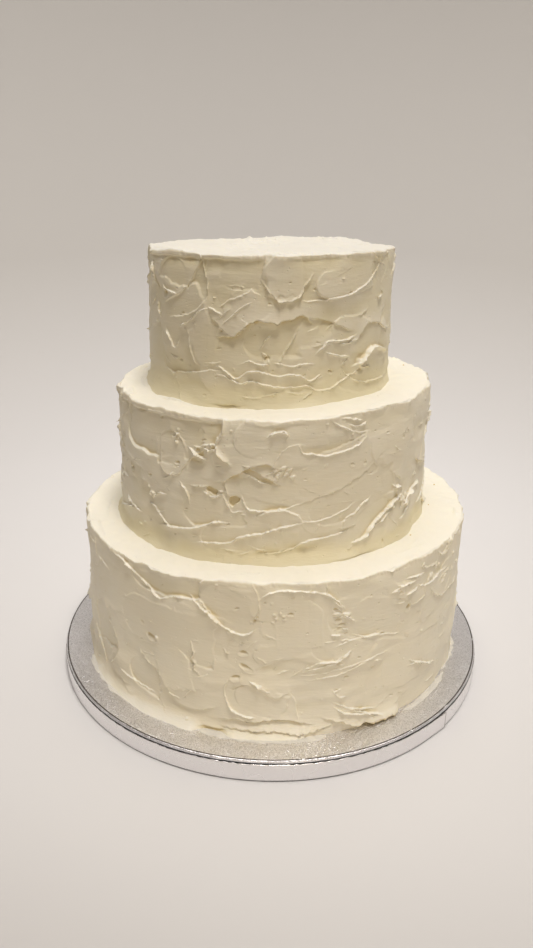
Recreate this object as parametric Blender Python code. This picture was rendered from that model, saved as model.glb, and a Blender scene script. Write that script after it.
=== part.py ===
"""Three-tier round wedding cake, iced with a palette knife, on a foil-covered drum board.

Metres, +Z up. The origin is the centre of the board's underside, and the front faces -Y.
Each tier is one solid: cake under buttercream, with a taller wall on one side where the cake
has risen more, flats where the knife was drawn round it, and an uneven rim.
"""

import math
import random
from collections import namedtuple

import bmesh
import bpy

# Clearance between two pieces that rest on each other or fit round each other.
GAP = 0.0003

# The board: thick card under foil, with a foil strip glued round its edge.
BOARD_RADIUS = 0.1525
BOARD_THICKNESS = 0.0146
BOARD_FOLD_RADIUS = 0.0011
STRIP_THICKNESS = 0.0004
STRIP_LOW_EDGE = 0.0007
STRIP_HIGH_EDGE = 0.0126
BOARD_SEGMENTS = 80

# The tiers. A wall leans in a little from foot to rim, and each seat is the top of the tier
# below. A lean is the rise of a seat or a top per metre towards +X.
Tier = namedtuple(
    "Tier",
    "name centre foot_radius wall_low_radius wall_high_radius seat seat_lean top top_lean"
    " flat_radius flats seed",
)
TIERS = [
    Tier("tier_bottom", (0.0012, 0.0040), 0.1392, 0.1346, 0.1328,
         BOARD_THICKNESS, 0.0, 0.1160, 0.0195, 0.1120, 17, 11),
    Tier("tier_middle", (-0.0005, -0.0005), 0.1068, 0.1048, 0.1030,
         0.1160, 0.0195, 0.2040, 0.0275, 0.0855, 14, 23),
    Tier("tier_top", (-0.0042, 0.0), 0.0806, 0.0788, 0.0772,
         0.2040, 0.0275, 0.2882, 0.0080, 0.0, 11, 37),
]
TIER_SEGMENTS = 80
FOOT_THICKNESS = 0.0007
FOOT_SWEEP = 0.0075
RIM_RADIUS = 0.0022
WALL_RINGS = 7
FLAT_DEPTH = (0.0005, 0.0014)
FLAT_SLOPE = 0.012
WALL_RIPPLE = 0.0007
FOOT_RIPPLE = 0.0009
RIM_RIPPLE = 0.0009
TOP_RIPPLE = 0.0006


def clear_scene():
    for thing in list(bpy.data.objects):
        bpy.data.objects.remove(thing)


def principled(name, colour, roughness, metallic):
    material = bpy.data.materials.new(name)
    material.use_nodes = True
    shader = material.node_tree.nodes["Principled BSDF"]
    shader.inputs["Base Color"].default_value = (*colour, 1.0)
    shader.inputs["Roughness"].default_value = roughness
    shader.inputs["Metallic"].default_value = metallic
    material.diffuse_color = (*colour, 1.0)
    return material


def smoothstep(low, high, value):
    t = min(1.0, max(0.0, (value - low) / (high - low)))
    return t * t * (3.0 - 2.0 * t)


def turned(profile, segments):
    """Spins a profile of (radius, height) points about Z into a closed mesh."""
    shape = bmesh.new()
    points = [shape.verts.new((radius, 0.0, height)) for radius, height in profile]
    edges = [shape.edges.new(pair) for pair in zip(points, points[1:])]
    bmesh.ops.spin(shape, geom=points + edges, cent=(0, 0, 0), axis=(0, 0, 1),
                   angle=math.tau, steps=segments, use_merge=True)
    bmesh.ops.remove_doubles(shape, verts=shape.verts, dist=0.00001)
    bmesh.ops.recalc_face_normals(shape, faces=shape.faces)
    return shape


def finish(shape, name, material, sharp_angle):
    mesh = bpy.data.meshes.new(name)
    shape.to_mesh(mesh)
    shape.free()
    mesh.materials.append(material)
    mesh.shade_smooth()
    mesh.set_sharp_from_angle(angle=math.radians(sharp_angle))
    thing = bpy.data.objects.new(name, mesh)
    bpy.context.collection.objects.link(thing)
    return thing


def arc(centre, radius, start, end, steps):
    """Points of a quarter-round, as (radius, height), with its angles in degrees."""
    for step in range(steps + 1):
        angle = math.radians(start + (end - start) * step / steps)
        yield (centre[0] + radius * math.cos(angle), centre[1] + radius * math.sin(angle))


def board(material):
    """The drum: card with foil folded over its top edge and tucked under its lower edge."""
    side = BOARD_RADIUS - STRIP_THICKNESS - GAP
    fold = BOARD_FOLD_RADIUS
    profile = [(0.0, 0.0), (side - 0.0006, 0.0), (side, 0.0006)]
    profile += arc((side - fold, BOARD_THICKNESS - fold), fold, 0.0, 90.0, 3)
    profile.append((0.0, BOARD_THICKNESS))
    return finish(turned(profile, BOARD_SEGMENTS), "cake_drum", material, 40)


def edge_strip(material):
    """The foil strip round the board's edge, a thin band a little lower than the board."""
    outer = BOARD_RADIUS
    inner = BOARD_RADIUS - STRIP_THICKNESS
    section = [(inner, STRIP_LOW_EDGE), (outer, STRIP_LOW_EDGE),
               (outer, STRIP_HIGH_EDGE), (inner, STRIP_HIGH_EDGE)]
    section.append(section[0])
    return finish(turned(section, BOARD_SEGMENTS), "drum_edge_strip", material, 40)


class Icing:
    """The unevenness of one tier's icing, the same on each run for the same seed."""

    def __init__(self, tier):
        chance = random.Random(tier.seed)
        self.tier = tier
        self.phases = [chance.uniform(0.0, math.tau) for _ in range(12)]
        self.flats = []
        for index in range(tier.flats):
            angle = math.tau * (index + chance.uniform(-0.28, 0.28)) / tier.flats
            depth = chance.uniform(*FLAT_DEPTH)
            slope = chance.uniform(-FLAT_SLOPE, FLAT_SLOPE)
            self.flats.append((angle, depth, slope))

    def ripple(self, angle, first, waves):
        """A wavy line round the tier, about one unit high, from three waves."""
        total = 0.0
        for index, count in enumerate(waves):
            total += math.sin(count * angle + self.phases[first + index]) / (1.0 + 0.5 * index)
        return total / 2.0

    def wall_radius(self, angle, height, nominal):
        """The wall's radius, cut back wherever a knife flat passes below the nominal wall."""
        middle = (self.tier.seat + self.tier.top) / 2.0
        radius = nominal + WALL_RIPPLE * self.ripple(angle + 9.0 * height, 0, (2, 3, 5))
        for flat_angle, depth, slope in self.flats:
            turn = math.cos(angle - flat_angle)
            if turn > 0.5:
                reach = (nominal - depth + slope * (height - middle)) / turn
                radius = min(radius, max(reach, nominal - 2.0 * depth))
        return radius


def tier_profile(tier):
    """A tier's plain shape: seat, thin foot, swept-in base, wall, rounded rim and flat top."""
    height = tier.top - tier.seat
    low, high = tier.wall_low_radius, tier.wall_high_radius
    sweep = tier.foot_radius - low
    profile = [(0.0, 0.0), (tier.foot_radius, 0.0), (tier.foot_radius - 0.0003, FOOT_THICKNESS)]
    profile.append((low + 0.42 * sweep, FOOT_THICKNESS + 0.0011))
    profile.append((low + 0.12 * sweep, 0.5 * FOOT_SWEEP))
    wall_start = FOOT_SWEEP
    wall_end = height - RIM_RADIUS
    for ring in range(WALL_RINGS):
        share = ring / (WALL_RINGS - 1)
        profile.append((low + (high - low) * share, wall_start + (wall_end - wall_start) * share))
    rim_centre = (high - RIM_RADIUS, height - RIM_RADIUS)
    profile += list(arc(rim_centre, RIM_RADIUS, 0.0, 90.0, 2))[1:]
    inside = tier.flat_radius or 0.62 * high
    profile.append(((high - RIM_RADIUS + inside) / 2.0, height))
    profile.append((inside, height))
    profile.append((0.0, height))
    return profile


def ice(shape, tier):
    """Moves a turned tier's points out to its uneven iced surface, where it stands."""
    icing = Icing(tier)
    height = tier.top - tier.seat
    inside = tier.flat_radius or 0.25 * tier.wall_high_radius
    for vert in shape.verts:
        x, y, level = vert.co
        radius = math.hypot(x, y)
        angle = math.atan2(y, x)
        on_seat = level < 0.00001
        if radius < 0.00001 or (on_seat and radius < 0.5 * tier.foot_radius):
            new_radius = radius
        else:
            outwards = icing.wall_radius(angle, level + tier.seat, radius) - radius
            base = 1.0 - smoothstep(0.0, FOOT_SWEEP, level)
            foot = FOOT_RIPPLE * icing.ripple(angle, 3, (4, 7, 11))
            edge = smoothstep(inside, tier.wall_high_radius - RIM_RADIUS, radius)
            new_radius = radius + edge * ((1.0 - base) * outwards + base * foot)
        rim = smoothstep(0.72 * height, height, level) * smoothstep(
            inside, tier.wall_high_radius - RIM_RADIUS, radius)
        top = smoothstep(inside, 0.9 * tier.wall_high_radius, radius) * (level > height - 0.00001)
        rise = RIM_RIPPLE * rim * icing.ripple(angle, 6, (3, 5, 8))
        rise += TOP_RIPPLE * top * icing.ripple(angle, 9, (2, 4, 7))
        new_x = tier.centre[0] + new_radius * math.cos(angle)
        new_y = tier.centre[1] + new_radius * math.sin(angle)
        seat = tier.seat + GAP + tier.seat_lean * new_x
        crown = tier.top + tier.top_lean * new_x
        vert.co = (new_x, new_y, seat + (crown - seat) * level / height + rise)


def cake_tier(tier, material):
    shape = turned(tier_profile(tier), TIER_SEGMENTS)
    ice(shape, tier)
    bmesh.ops.recalc_face_normals(shape, faces=shape.faces)
    return finish(shape, tier.name, material, 60)


clear_scene()
foil = principled("silver_foil", (0.72, 0.69, 0.66), 0.32, 1.0)
strip_paper = principled("foil_strip", (0.76, 0.73, 0.71), 0.40, 1.0)
buttercream = principled("buttercream", (0.80, 0.70, 0.53), 0.48, 0.0)
board(foil)
edge_strip(strip_paper)
for cake in TIERS:
    cake_tier(cake, buttercream)
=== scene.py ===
import math

import bpy
import numpy as np
from mathutils import Matrix, Vector
from mathutils.bvhtree import BVHTree


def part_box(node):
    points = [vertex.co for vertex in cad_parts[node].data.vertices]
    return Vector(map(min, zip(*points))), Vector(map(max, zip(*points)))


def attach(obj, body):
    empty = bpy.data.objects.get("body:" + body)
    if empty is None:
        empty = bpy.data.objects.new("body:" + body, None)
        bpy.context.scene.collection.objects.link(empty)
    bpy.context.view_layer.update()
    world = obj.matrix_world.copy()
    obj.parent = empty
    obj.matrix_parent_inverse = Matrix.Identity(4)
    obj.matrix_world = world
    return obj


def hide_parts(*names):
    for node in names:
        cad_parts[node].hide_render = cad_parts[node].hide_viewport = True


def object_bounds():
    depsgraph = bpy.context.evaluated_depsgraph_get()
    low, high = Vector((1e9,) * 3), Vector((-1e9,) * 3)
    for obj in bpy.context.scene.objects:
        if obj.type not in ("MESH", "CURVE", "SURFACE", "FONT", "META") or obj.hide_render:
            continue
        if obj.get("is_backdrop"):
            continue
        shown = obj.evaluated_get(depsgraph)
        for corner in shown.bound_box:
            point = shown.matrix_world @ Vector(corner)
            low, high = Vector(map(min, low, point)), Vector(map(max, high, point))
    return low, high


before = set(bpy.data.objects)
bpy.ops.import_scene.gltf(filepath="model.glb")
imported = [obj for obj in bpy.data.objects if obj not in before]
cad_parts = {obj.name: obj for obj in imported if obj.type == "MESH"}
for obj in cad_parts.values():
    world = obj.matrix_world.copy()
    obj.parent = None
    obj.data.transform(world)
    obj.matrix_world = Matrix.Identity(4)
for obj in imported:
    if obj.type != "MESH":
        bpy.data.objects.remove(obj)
cad_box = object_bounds()


# ---- The drum board ----------------------------------------------------------------
# Thick card covered in embossed silver foil paper. The paper is laid over the top,
# folded down over the edge in small pleats, and glued under a smooth edge strip.

BOARD_RADIUS, _, BOARD_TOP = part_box("cake_drum")[1]
FOLD_RADIUS = 0.0011
CARD_RADIUS = BOARD_RADIUS - 0.0008   # the side under the strip, behind the puffed-out fold
CARD_ROUNDING = 0.0008
CREASE_INSIDE = 0.00115     # where the painted shade line along the foil's fold lies, in from the edge
CREASE_WIDTH = 0.0005
BOARD_SEGMENTS = 900
PATH_RADIUS = 0.01          # the small ring a profile is carried round to turn it
PLEATS_INSIDE = (0.0035, 0.0008)      # in from the edge: where the pleats start, and are whole
PLEATS_BESIDE = (0.0045, 0.0004)      # above and below the fold, the same
DARK_FOIL, BRIGHT_FOIL = (0.68, 0.677, 0.695), (0.915, 0.911, 0.937)
# painted shade: the dark line along the foil's fold
FOLD_SHADE_TONE = (0.10, 0.085, 0.08)


def quarter_turn(centre, radius, start, end, steps):
    """Points of an arc as (radius, height), between two angles in degrees."""
    angles = np.radians(np.linspace(start, end, steps + 1))
    return [(centre[0] + radius * math.cos(a), centre[1] + radius * math.sin(a)) for a in angles]


def put_in_scene(name, data):
    """A new object in the scene that holds a mesh, curve, lamp or camera."""
    thing = bpy.data.objects.new(name, data)
    bpy.context.scene.collection.objects.link(thing)
    return thing


def poly_curve(name, points):
    """An object holding one straight-sided curve through the points."""
    curve = bpy.data.curves.new(name, "CURVE")
    curve.dimensions = "3D"
    spline = curve.splines.new("POLY")
    spline.points.add(len(points) - 1)
    for spot, place in zip(spline.points, points):
        spot.co = (*place, 1.0)
    return put_in_scene(name, curve)


class Tree:
    """Short words for building a node tree. Most of them give back a node's first output."""

    def __init__(self, tree):
        self.tree = tree

    def node(self, kind, settings=None, **inputs):
        node = self.tree.nodes.new(kind)
        for name, value in (settings or {}).items():
            setattr(node, name, value)
        for name, value in inputs.items():
            self.feed(node, name.replace("_", " "), value)
        return node

    def feed(self, node, name, value):
        """Links a value to an input, or sets it there. A colour may come without its alpha."""
        socket = node.inputs[name]
        if isinstance(value, bpy.types.NodeSocket):
            self.tree.links.new(value, socket)
        else:
            socket.default_value = (*value, 1.0) if socket.type == "RGBA" else value

    def fed(self, node, values, out=0):
        for index, value in enumerate(values):
            self.feed(node, index, value)
        return node.outputs[out]

    def add(self, kind, settings=None, **inputs):
        return self.node(kind, settings, **inputs).outputs[0]

    def maths(self, operation, *values):
        return self.fed(self.node("ShaderNodeMath", {"operation": operation}), values)

    def plus(self, first, second):
        return self.maths("ADD", first, second)

    def minus(self, first, second):
        return self.maths("SUBTRACT", first, second)

    def times(self, first, second):
        return self.maths("MULTIPLY", first, second)

    def apart(self, first, second):
        return self.maths("ABSOLUTE", self.minus(first, second))

    def vector(self, operation, *values, out=0):
        return self.fed(self.node("ShaderNodeVectorMath", {"operation": operation}), values, out)

    def scaled(self, vector, share):
        return self.add("ShaderNodeVectorMath", {"operation": "SCALE"}, Vector=vector, Scale=share)

    def length(self, vector):
        return self.vector("LENGTH", vector, out=1)

    def flattened(self, place):
        return self.vector("MULTIPLY", place, (1.0, 1.0, 0.0))

    def parts(self, vector):
        return self.node("ShaderNodeSeparateXYZ", Vector=vector).outputs

    def raised(self, amount):
        return self.add("ShaderNodeCombineXYZ", Z=amount)

    def place(self):
        """Where a point of the surface is, in the object's own metres."""
        return self.node("ShaderNodeTexCoord").outputs["Object"]

    def noise(self, place, scale, detail=2.0, roughness=0.5, out=0):
        node = self.node("ShaderNodeTexNoise", Vector=place, Scale=scale, Detail=detail, Roughness=roughness)
        return node.outputs[out]

    def band(self, value, low, high, to_low=0.0, to_high=1.0, kind="SMOOTHSTEP"):
        """Maps a value from one range to another, without going past its ends."""
        node = self.node("ShaderNodeMapRange", {"interpolation_type": kind})
        return self.fed(node, (value, low, high, to_low, to_high))

    def mix(self, share, first, second):
        """One colour at a share of 0, and another at 1."""
        node = self.node("ShaderNodeMix", {"data_type": "RGBA"})
        for index, value in ((0, share), (6, first), (7, second)):
            self.feed(node, index, value)
        return node.outputs[2]


def new_group(kind, name, inputs, outputs):
    """A node group with named inputs and outputs: its Tree, what it is given, and its last node."""
    group = bpy.data.node_groups.new(name, kind)
    for way, sockets in (("INPUT", inputs), ("OUTPUT", outputs)):
        for label, socket in sockets.items():
            group.interface.new_socket(label, in_out=way, socket_type="NodeSocket" + socket)
    return Tree(group), group.nodes.new("NodeGroupInput").outputs, group.nodes.new("NodeGroupOutput")


def shape_group(name, **inputs):
    """A Geometry Nodes tree that is given a shape, the named inputs and a material."""
    inputs = {"Geometry": "Geometry", **{label.replace("_", " "): kind for label, kind in inputs.items()},
              "Material": "Material"}
    return new_group("GeometryNodeTree", name, inputs, {"Geometry": "Geometry"})


def covered(tree, given, made, shape):
    """Ends a shape's tree: one real mesh, covered in the material given."""
    real = tree.add("GeometryNodeRealizeInstances", Geometry=shape)
    tree.feed(made, 0, tree.add("GeometryNodeSetMaterial", Geometry=real, Material=given["Material"]))
    return tree


def plain_piece(name, thing):
    """Turns an object with its modifiers worked out into a plain mesh piece."""
    shown = bpy.context.evaluated_depsgraph_get()
    mesh = bpy.data.meshes.new_from_object(thing.evaluated_get(shown), depsgraph=shown)
    mesh.name = name
    bpy.data.objects.remove(thing)
    return put_in_scene(name, mesh)


def grow(name, thing, tree, **inputs):
    """Runs a Geometry Nodes tree on an object and returns the result as a plain mesh piece."""
    modifier = thing.modifiers.new(name, "NODES")
    modifier.node_group = tree.tree
    for item in tree.tree.interface.items_tree:
        key = item.name.replace(" ", "_").lower()
        if item.in_out == "INPUT" and key in inputs:
            modifier[item.identifier] = inputs[key]
    return plain_piece(name, thing)


def foil_turning():
    """Carries a profile round in a ring and pleats the foil where it folds over the edge."""
    tree, given, made = shape_group("Foil turning", Segments="Int", Edge_Radius="Float",
                                    Fold_Height="Float", Pleat_Depth="Float", Pleat_Spacing="Float")
    ring = tree.add("GeometryNodeCurvePrimitiveCircle", Radius=PATH_RADIUS, Resolution=given["Segments"])
    swept = tree.add("GeometryNodeCurveToMesh", Curve=ring, Profile_Curve=given["Geometry"])
    closed = tree.add("GeometryNodeMergeByDistance", Geometry=swept, Distance=0.00002)
    place = tree.add("GeometryNodeInputPosition")
    flat = tree.flattened(place)
    squeezed = tree.vector("MULTIPLY", place, (1.0, 1.0, 0.35))
    pleats = tree.noise(squeezed, tree.maths("DIVIDE", 1.0, given["Pleat Spacing"]), 3.0, 0.6)
    near_edge = tree.band(tree.minus(given["Edge Radius"], tree.length(flat)), *PLEATS_INSIDE)
    near_fold = tree.band(tree.apart(tree.parts(place)[2], given["Fold Height"]), *PLEATS_BESIDE)
    amount = tree.times(tree.minus(pleats, 0.5), given["Pleat Depth"])
    amount = tree.times(amount, tree.times(near_edge, near_fold))
    sideways = tree.scaled(tree.vector("NORMALIZE", flat), amount)
    offset = tree.vector("ADD", sideways, tree.raised(tree.times(amount, 0.35)))
    moved = tree.add("GeometryNodeSetPosition", Geometry=closed, Offset=offset)
    return covered(tree, given, made, tree.add("GeometryNodeSetShadeSmooth", Geometry=moved))


def new_material(name):
    """A material with a Tree for its nodes, and a way to feed its Principled shader."""
    material = bpy.data.materials.new(name)
    material.use_nodes = True
    tree = Tree(material.node_tree)
    shader = material.node_tree.nodes["Principled BSDF"]

    def finish(height=None, strength=1.0, depth=0.0, **inputs):
        if height is not None:
            bump = tree.add("ShaderNodeBump", Height=height, Strength=strength, Distance=depth)
            tree.feed(shader, "Normal", bump)
        for label, value in inputs.items():
            tree.feed(shader, label.replace("_", " "), value)
        return material

    return tree, finish


def embossed_foil():
    """Silver foil paper, stamped all over with a fine curling grain."""
    tree, finish = new_material("embossed_foil")
    place = tree.place()
    bend = tree.vector("SUBTRACT", tree.noise(place, 330.0, 1.0, out=1), (0.5, 0.5, 0.5))
    bent = tree.vector("ADD", place, tree.scaled(bend, 0.006))
    curls = tree.node("ShaderNodeTexWave", Vector=bent, Scale=260.0, Distortion=3.0, Detail=1.0).outputs[1]
    height = tree.plus(tree.times(curls, 0.2), tree.noise(place, 1050.0, 2.0, 0.65))
    tone = tree.mix(tree.band(height, 0.40, 0.72), DARK_FOIL, BRIGHT_FOIL)
    inside = tree.minus(BOARD_RADIUS, tree.length(tree.flattened(place)))
    # Painted shade: a thin, broken dark line along the fold, in from the edge.
    fold_shade = tree.band(tree.apart(inside, CREASE_INSIDE), CREASE_WIDTH, 0.6 * CREASE_WIDTH)
    fold_shade = tree.times(fold_shade, tree.band(tree.noise(place, 170.0, 3.0), 0.28, 0.34))
    worn = tree.band(tree.noise(place, 60.0, 3.0), 0.3, 0.7, 0.30, 0.40)
    return finish(height, 0.85, 0.00045, Base_Color=tree.mix(fold_shade, tone, FOLD_SHADE_TONE),
                  Roughness=worn, Metallic=1.0)


board_profile = [(0.0, 0.0), (0.6 * BOARD_RADIUS, 0.0), (CARD_RADIUS - CARD_ROUNDING, 0.0)]
board_profile += quarter_turn((CARD_RADIUS - CARD_ROUNDING, CARD_ROUNDING), CARD_ROUNDING, -60, 0, 3)
board_profile += [(CARD_RADIUS, z) for z in np.linspace(0.0018, BOARD_TOP - 0.0030, 10)]
board_profile += [(CARD_RADIUS + 0.0003, BOARD_TOP - 0.0023), (BOARD_RADIUS - 0.0002, BOARD_TOP - 0.0018),
                  (BOARD_RADIUS, BOARD_TOP - 0.0014)]
board_profile += quarter_turn((BOARD_RADIUS - FOLD_RADIUS, BOARD_TOP - FOLD_RADIUS), FOLD_RADIUS, 0, 90, 7)
board_profile += [(r, BOARD_TOP) for r in BOARD_RADIUS - np.array([0.0018, 0.0026, 0.004, 0.008, 0.03])]
board_profile += [(0.0, BOARD_TOP)]
profile = poly_curve("board_profile", [(r - PATH_RADIUS, -z, 0.0) for r, z in reversed(board_profile)])
board = grow("board", profile, foil_turning(), segments=BOARD_SEGMENTS, edge_radius=BOARD_RADIUS,
             fold_height=BOARD_TOP - 0.001, pleat_depth=0.0007, pleat_spacing=0.006,
             material=embossed_foil())
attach(board, "root")
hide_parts("cake_drum")


# ---- The edge strip ----------------------------------------------------------------
# A strip of plain silver foil paper glued round the board's edge over the folded foil.
# Its two ends overlap at the right of the front, and its upper edge is cut a little ragged.

strip_low, strip_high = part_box("drum_edge_strip")
STRIP_PAPER = 0.00025
STRIP_SEAM = math.radians(44.5)       # measured round from the front towards +X
STRIP_OVERLAP = math.radians(3.0)
STRIP_SEGMENTS = 720
STRIP_END_LOOSE = 0.0007              # how far the outer end stands off
LEAST_FRAY = 0.62                     # of the noise: the cut only ever goes down from the edge
GLUE_AND_SHADOW_LINE = (0.0032, 0.0022)          # radians from the end: where the dark line of glue and painted shadow fades
STRIP_TONES = (0.83, 0.81, 0.81), (0.89, 0.875, 0.875)
# glue, and painted shadow under the strip's loose end
GLUE_AND_SHADOW_TONE = (0.22, 0.20, 0.18)


def strip_winding():
    """Carries the strip's cross-section round the board and frays its upper edge."""
    tree, given, made = shape_group("Strip winding", Low_Edge="Float", High_Edge="Float", Fray="Float")
    tall = tree.minus(given["High Edge"], given["Low Edge"])
    section = tree.add("GeometryNodeCurvePrimitiveQuadrilateral", Width=STRIP_PAPER, Height=tall)
    fine = tree.add("GeometryNodeResampleCurve", Curve=section, Count=48)
    swept = tree.add("GeometryNodeCurveToMesh", Curve=given["Geometry"], Profile_Curve=fine, Fill_Caps=True)
    place = tree.add("GeometryNodeInputPosition")
    cut = tree.noise(tree.flattened(place), 420.0, 3.0, 0.7)
    middle = tree.plus(given["Low Edge"], tree.times(tall, 0.5))
    near_top = tree.band(tree.parts(place)[2], tree.plus(middle, tree.times(tall, 0.3)), given["High Edge"])
    depth = tree.times(tree.minus(cut, LEAST_FRAY), given["Fray"])
    moved = tree.add("GeometryNodeSetPosition", Geometry=swept,
                     Offset=tree.raised(tree.times(depth, near_top)))
    return covered(tree, given, made, moved)


def mottling():
    """A group for any material whose colour drifts between two tones in soft patches."""
    tree, given, made = new_group(
        "ShaderNodeTree", "Mottling",
        {"Place": "Vector", "Scale": "Float", "Detail": "Float", "Low": "Float", "High": "Float",
         "First Tone": "Color", "Second Tone": "Color"}, {"Tone": "Color", "Patches": "Float"})
    patches = tree.noise(given["Place"], given["Scale"], given["Detail"])
    share = tree.band(patches, given["Low"], given["High"])
    tree.feed(made, "Tone", tree.mix(share, given["First Tone"], given["Second Tone"]))
    tree.feed(made, "Patches", patches)
    return tree.tree


mottled_look = mottling()


def mottled(tree, place, scale, detail, low, high, tones):
    """The group in a material: its tone, and the soft patches themselves."""
    node = tree.node("ShaderNodeGroup", {"node_tree": mottled_look}, Place=place, Scale=scale,
                     Detail=detail, Low=low, High=high, First_Tone=tones[0], Second_Tone=tones[1])
    return node.outputs


def strip_foil():
    """Plain silver foil paper, almost smooth, with the faint waves of the card behind it."""
    tree, finish = new_material("strip_foil")
    place = tree.place()
    tone, streaks = mottled(tree, place, 40.0, 2.0, -0.25, 1.25, STRIP_TONES)
    x, y, _ = tree.parts(place)
    turn = tree.maths("ARCTAN2", x, tree.times(y, -1.0))
    # A dark line at the strip's end: partly glue, partly painted shadow of the loose end.
    glue_and_shadow = tree.band(tree.apart(turn, STRIP_SEAM + STRIP_OVERLAP), *GLUE_AND_SHADOW_LINE)
    return finish(tree.noise(place, 45.0, 1.0), 0.25, 0.0004, Base_Color=tree.mix(glue_and_shadow, tone, GLUE_AND_SHADOW_TONE),
                  Roughness=tree.band(streaks, 0.35, 0.7, 0.22, 0.34), Metallic=1.0)


def strip_path():
    """The strip's middle line: once round the board, the last stretch over the first."""
    points = []
    middle_radius = strip_high.x - 1.5 * STRIP_PAPER
    middle_level = (strip_low.z + strip_high.z) / 2
    for share in np.linspace(0.0, 1.0, STRIP_SEGMENTS):
        turn = STRIP_SEAM + share * (math.tau + STRIP_OVERLAP)
        past = turn - STRIP_SEAM - math.tau
        lift = STRIP_PAPER * 1.15 * min(1.0, max(0.0, (past + 0.02) / 0.02))
        loose = STRIP_END_LOOSE * max(0.0, past / STRIP_OVERLAP) ** 3
        radius = middle_radius + lift + loose
        points.append((radius * math.sin(turn), -radius * math.cos(turn), middle_level))
    return points


strip = grow("edge_strip", poly_curve("strip_path", strip_path()), strip_winding(),
             low_edge=strip_low.z, high_edge=strip_high.z, fray=0.0022, material=strip_foil())
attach(strip, "root")
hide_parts("drum_edge_strip")


# ---- The bottom tier ---------------------------------------------------------------
# A round sponge cake under buttercream, spread and pushed about with a palette knife.
# Its icing sweeps out in a thin uneven skirt that sticks it to the board.
# Marks are placed in degrees round from the front and millimetres up the wall.

MM = 0.001
CELL = 0.35                 # mm between the points of an icing surface before it is thinned
WALL_MARGIN = 3.0           # mm of icing surface kept past the foot and the rim
CORNER = 1.3                # mm, the rim's rounding
CORNER_STEPS = 7
SWEEP_HEIGHT = 12.0         # mm, how high the foot's outward sweep reaches
LEAST_SWEEP = 1.6           # mm, how far it goes out even where the CAD's foot doesn't
FOOT_BURIED = -1.6          # mm, where the foot's surface ends, inside what it sits on
FOOT_RINGS = (0.3, 0.7, 1.2, 1.8, 2.8, 3.8, 5.6, 7.5)    # mm up, where the form is measured
FIRST_WALL_RING = 7         # the last of those, above the CAD's own foot
WALL_RING_STEP = 6.0        # mm between the rings measured above it
TOP_STEP = 0.8              # mm between the rings of the flat top
PIECE_TRIANGLES = 198000
RIM_WAVES = (30.0, 11.0, 5.0, 2.5)    # mm, the lengths of the rim's waves
CREAM_TONES = (0.903, 0.832, 0.648), (0.922, 0.862, 0.693)
UPWARD_LIT_TONE, TOP_FACE_SHADE_TONE = (0.905, 0.879, 0.768), (0.855, 0.838, 0.752)   # painted light: a paler, cooler tone where it faces up, and painted shade on the topmost face
WALL_SHADE_TONE = (0.865, 0.785, 0.530)    # painted shade on the walls: darker and yellower
HOLLOW_SHADE_TONE = (0.76, 0.65, 0.40)        # painted shade in the pits and hollows


def fade(low, high, value):
    """0 below low, 1 above high, and smooth between."""
    t = np.clip((value - low) / (high - low), 0.0, 1.0)
    return t * t * (3.0 - 2.0 * t)


def hump(value, width, power=2):
    """1 at 0, falling away on both sides of it."""
    return np.exp(-np.abs(value / width) ** power)


def wander(distance, spacing, chance):
    """Smooth noise between -1 and 1 along a line, with a new value at each spacing."""
    knots = chance.uniform(-1.0, 1.0, max(4, int(distance.max() / spacing) + 3))
    place = np.clip(distance / spacing, 0.0, len(knots) - 1.001)
    low = place.astype(int)
    t = fade(0.0, 1.0, place - low)
    return knots[low] * (1.0 - t) + knots[low + 1] * t


def smooth_path(points, step):
    """Points close together on a smooth line through a few points."""
    ends = [2 * points[0] - points[1], 2 * points[-1] - points[-2]]
    ahead = np.vstack([ends[:1], points, ends[1:]])
    parts = []
    for a, b, c, d in zip(ahead, ahead[1:], ahead[2:], ahead[3:]):
        count = max(2, math.ceil(np.hypot(*(c - b)) / step))
        t = np.arange(count)[:, None] / count
        parts.append(0.5 * (2 * b + (c - a) * t + (2 * a - 5 * b + 4 * c - d) * t ** 2
                            + (3 * b - a - 3 * c + d) * t ** 3))
    return np.vstack([*parts, points[-1:]])


def ring_mesh(name, rings, first=None, last=None):
    """A mesh through rings of points, closed by a point at its ends, or joined round if it has none."""
    columns = len(rings[0])
    here = np.arange(columns)
    after = (here + 1) % columns
    start = 0 if first is None else 1
    bands = len(rings) if last is None else len(rings) - 1
    faces = []
    for row in range(bands):
        lower, upper = start + row * columns, start + (row + 1) % len(rings) * columns
        faces += np.stack([lower + here, lower + after, upper + after, upper + here], 1).tolist()
    points = np.vstack(([] if first is None else [[first]]) + rings + ([] if last is None else [[last]]))
    if first is not None:
        faces += np.stack([np.zeros_like(here), 1 + after, 1 + here], 1).tolist()
    if last is not None:
        edge = start + (len(rings) - 1) * columns
        faces += np.stack([edge + here, edge + after, np.full_like(here, len(points) - 1)], 1).tolist()
    mesh = bpy.data.meshes.new(name)
    mesh.from_pydata(points.tolist(), [], faces)
    mesh.shade_smooth()
    return mesh


def note_on_points(mesh, label, values):
    """Keeps a number with each point of a mesh, for its material to read."""
    mesh.attributes.new(label, "FLOAT", "POINT").data.foreach_set("value", values)


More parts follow.
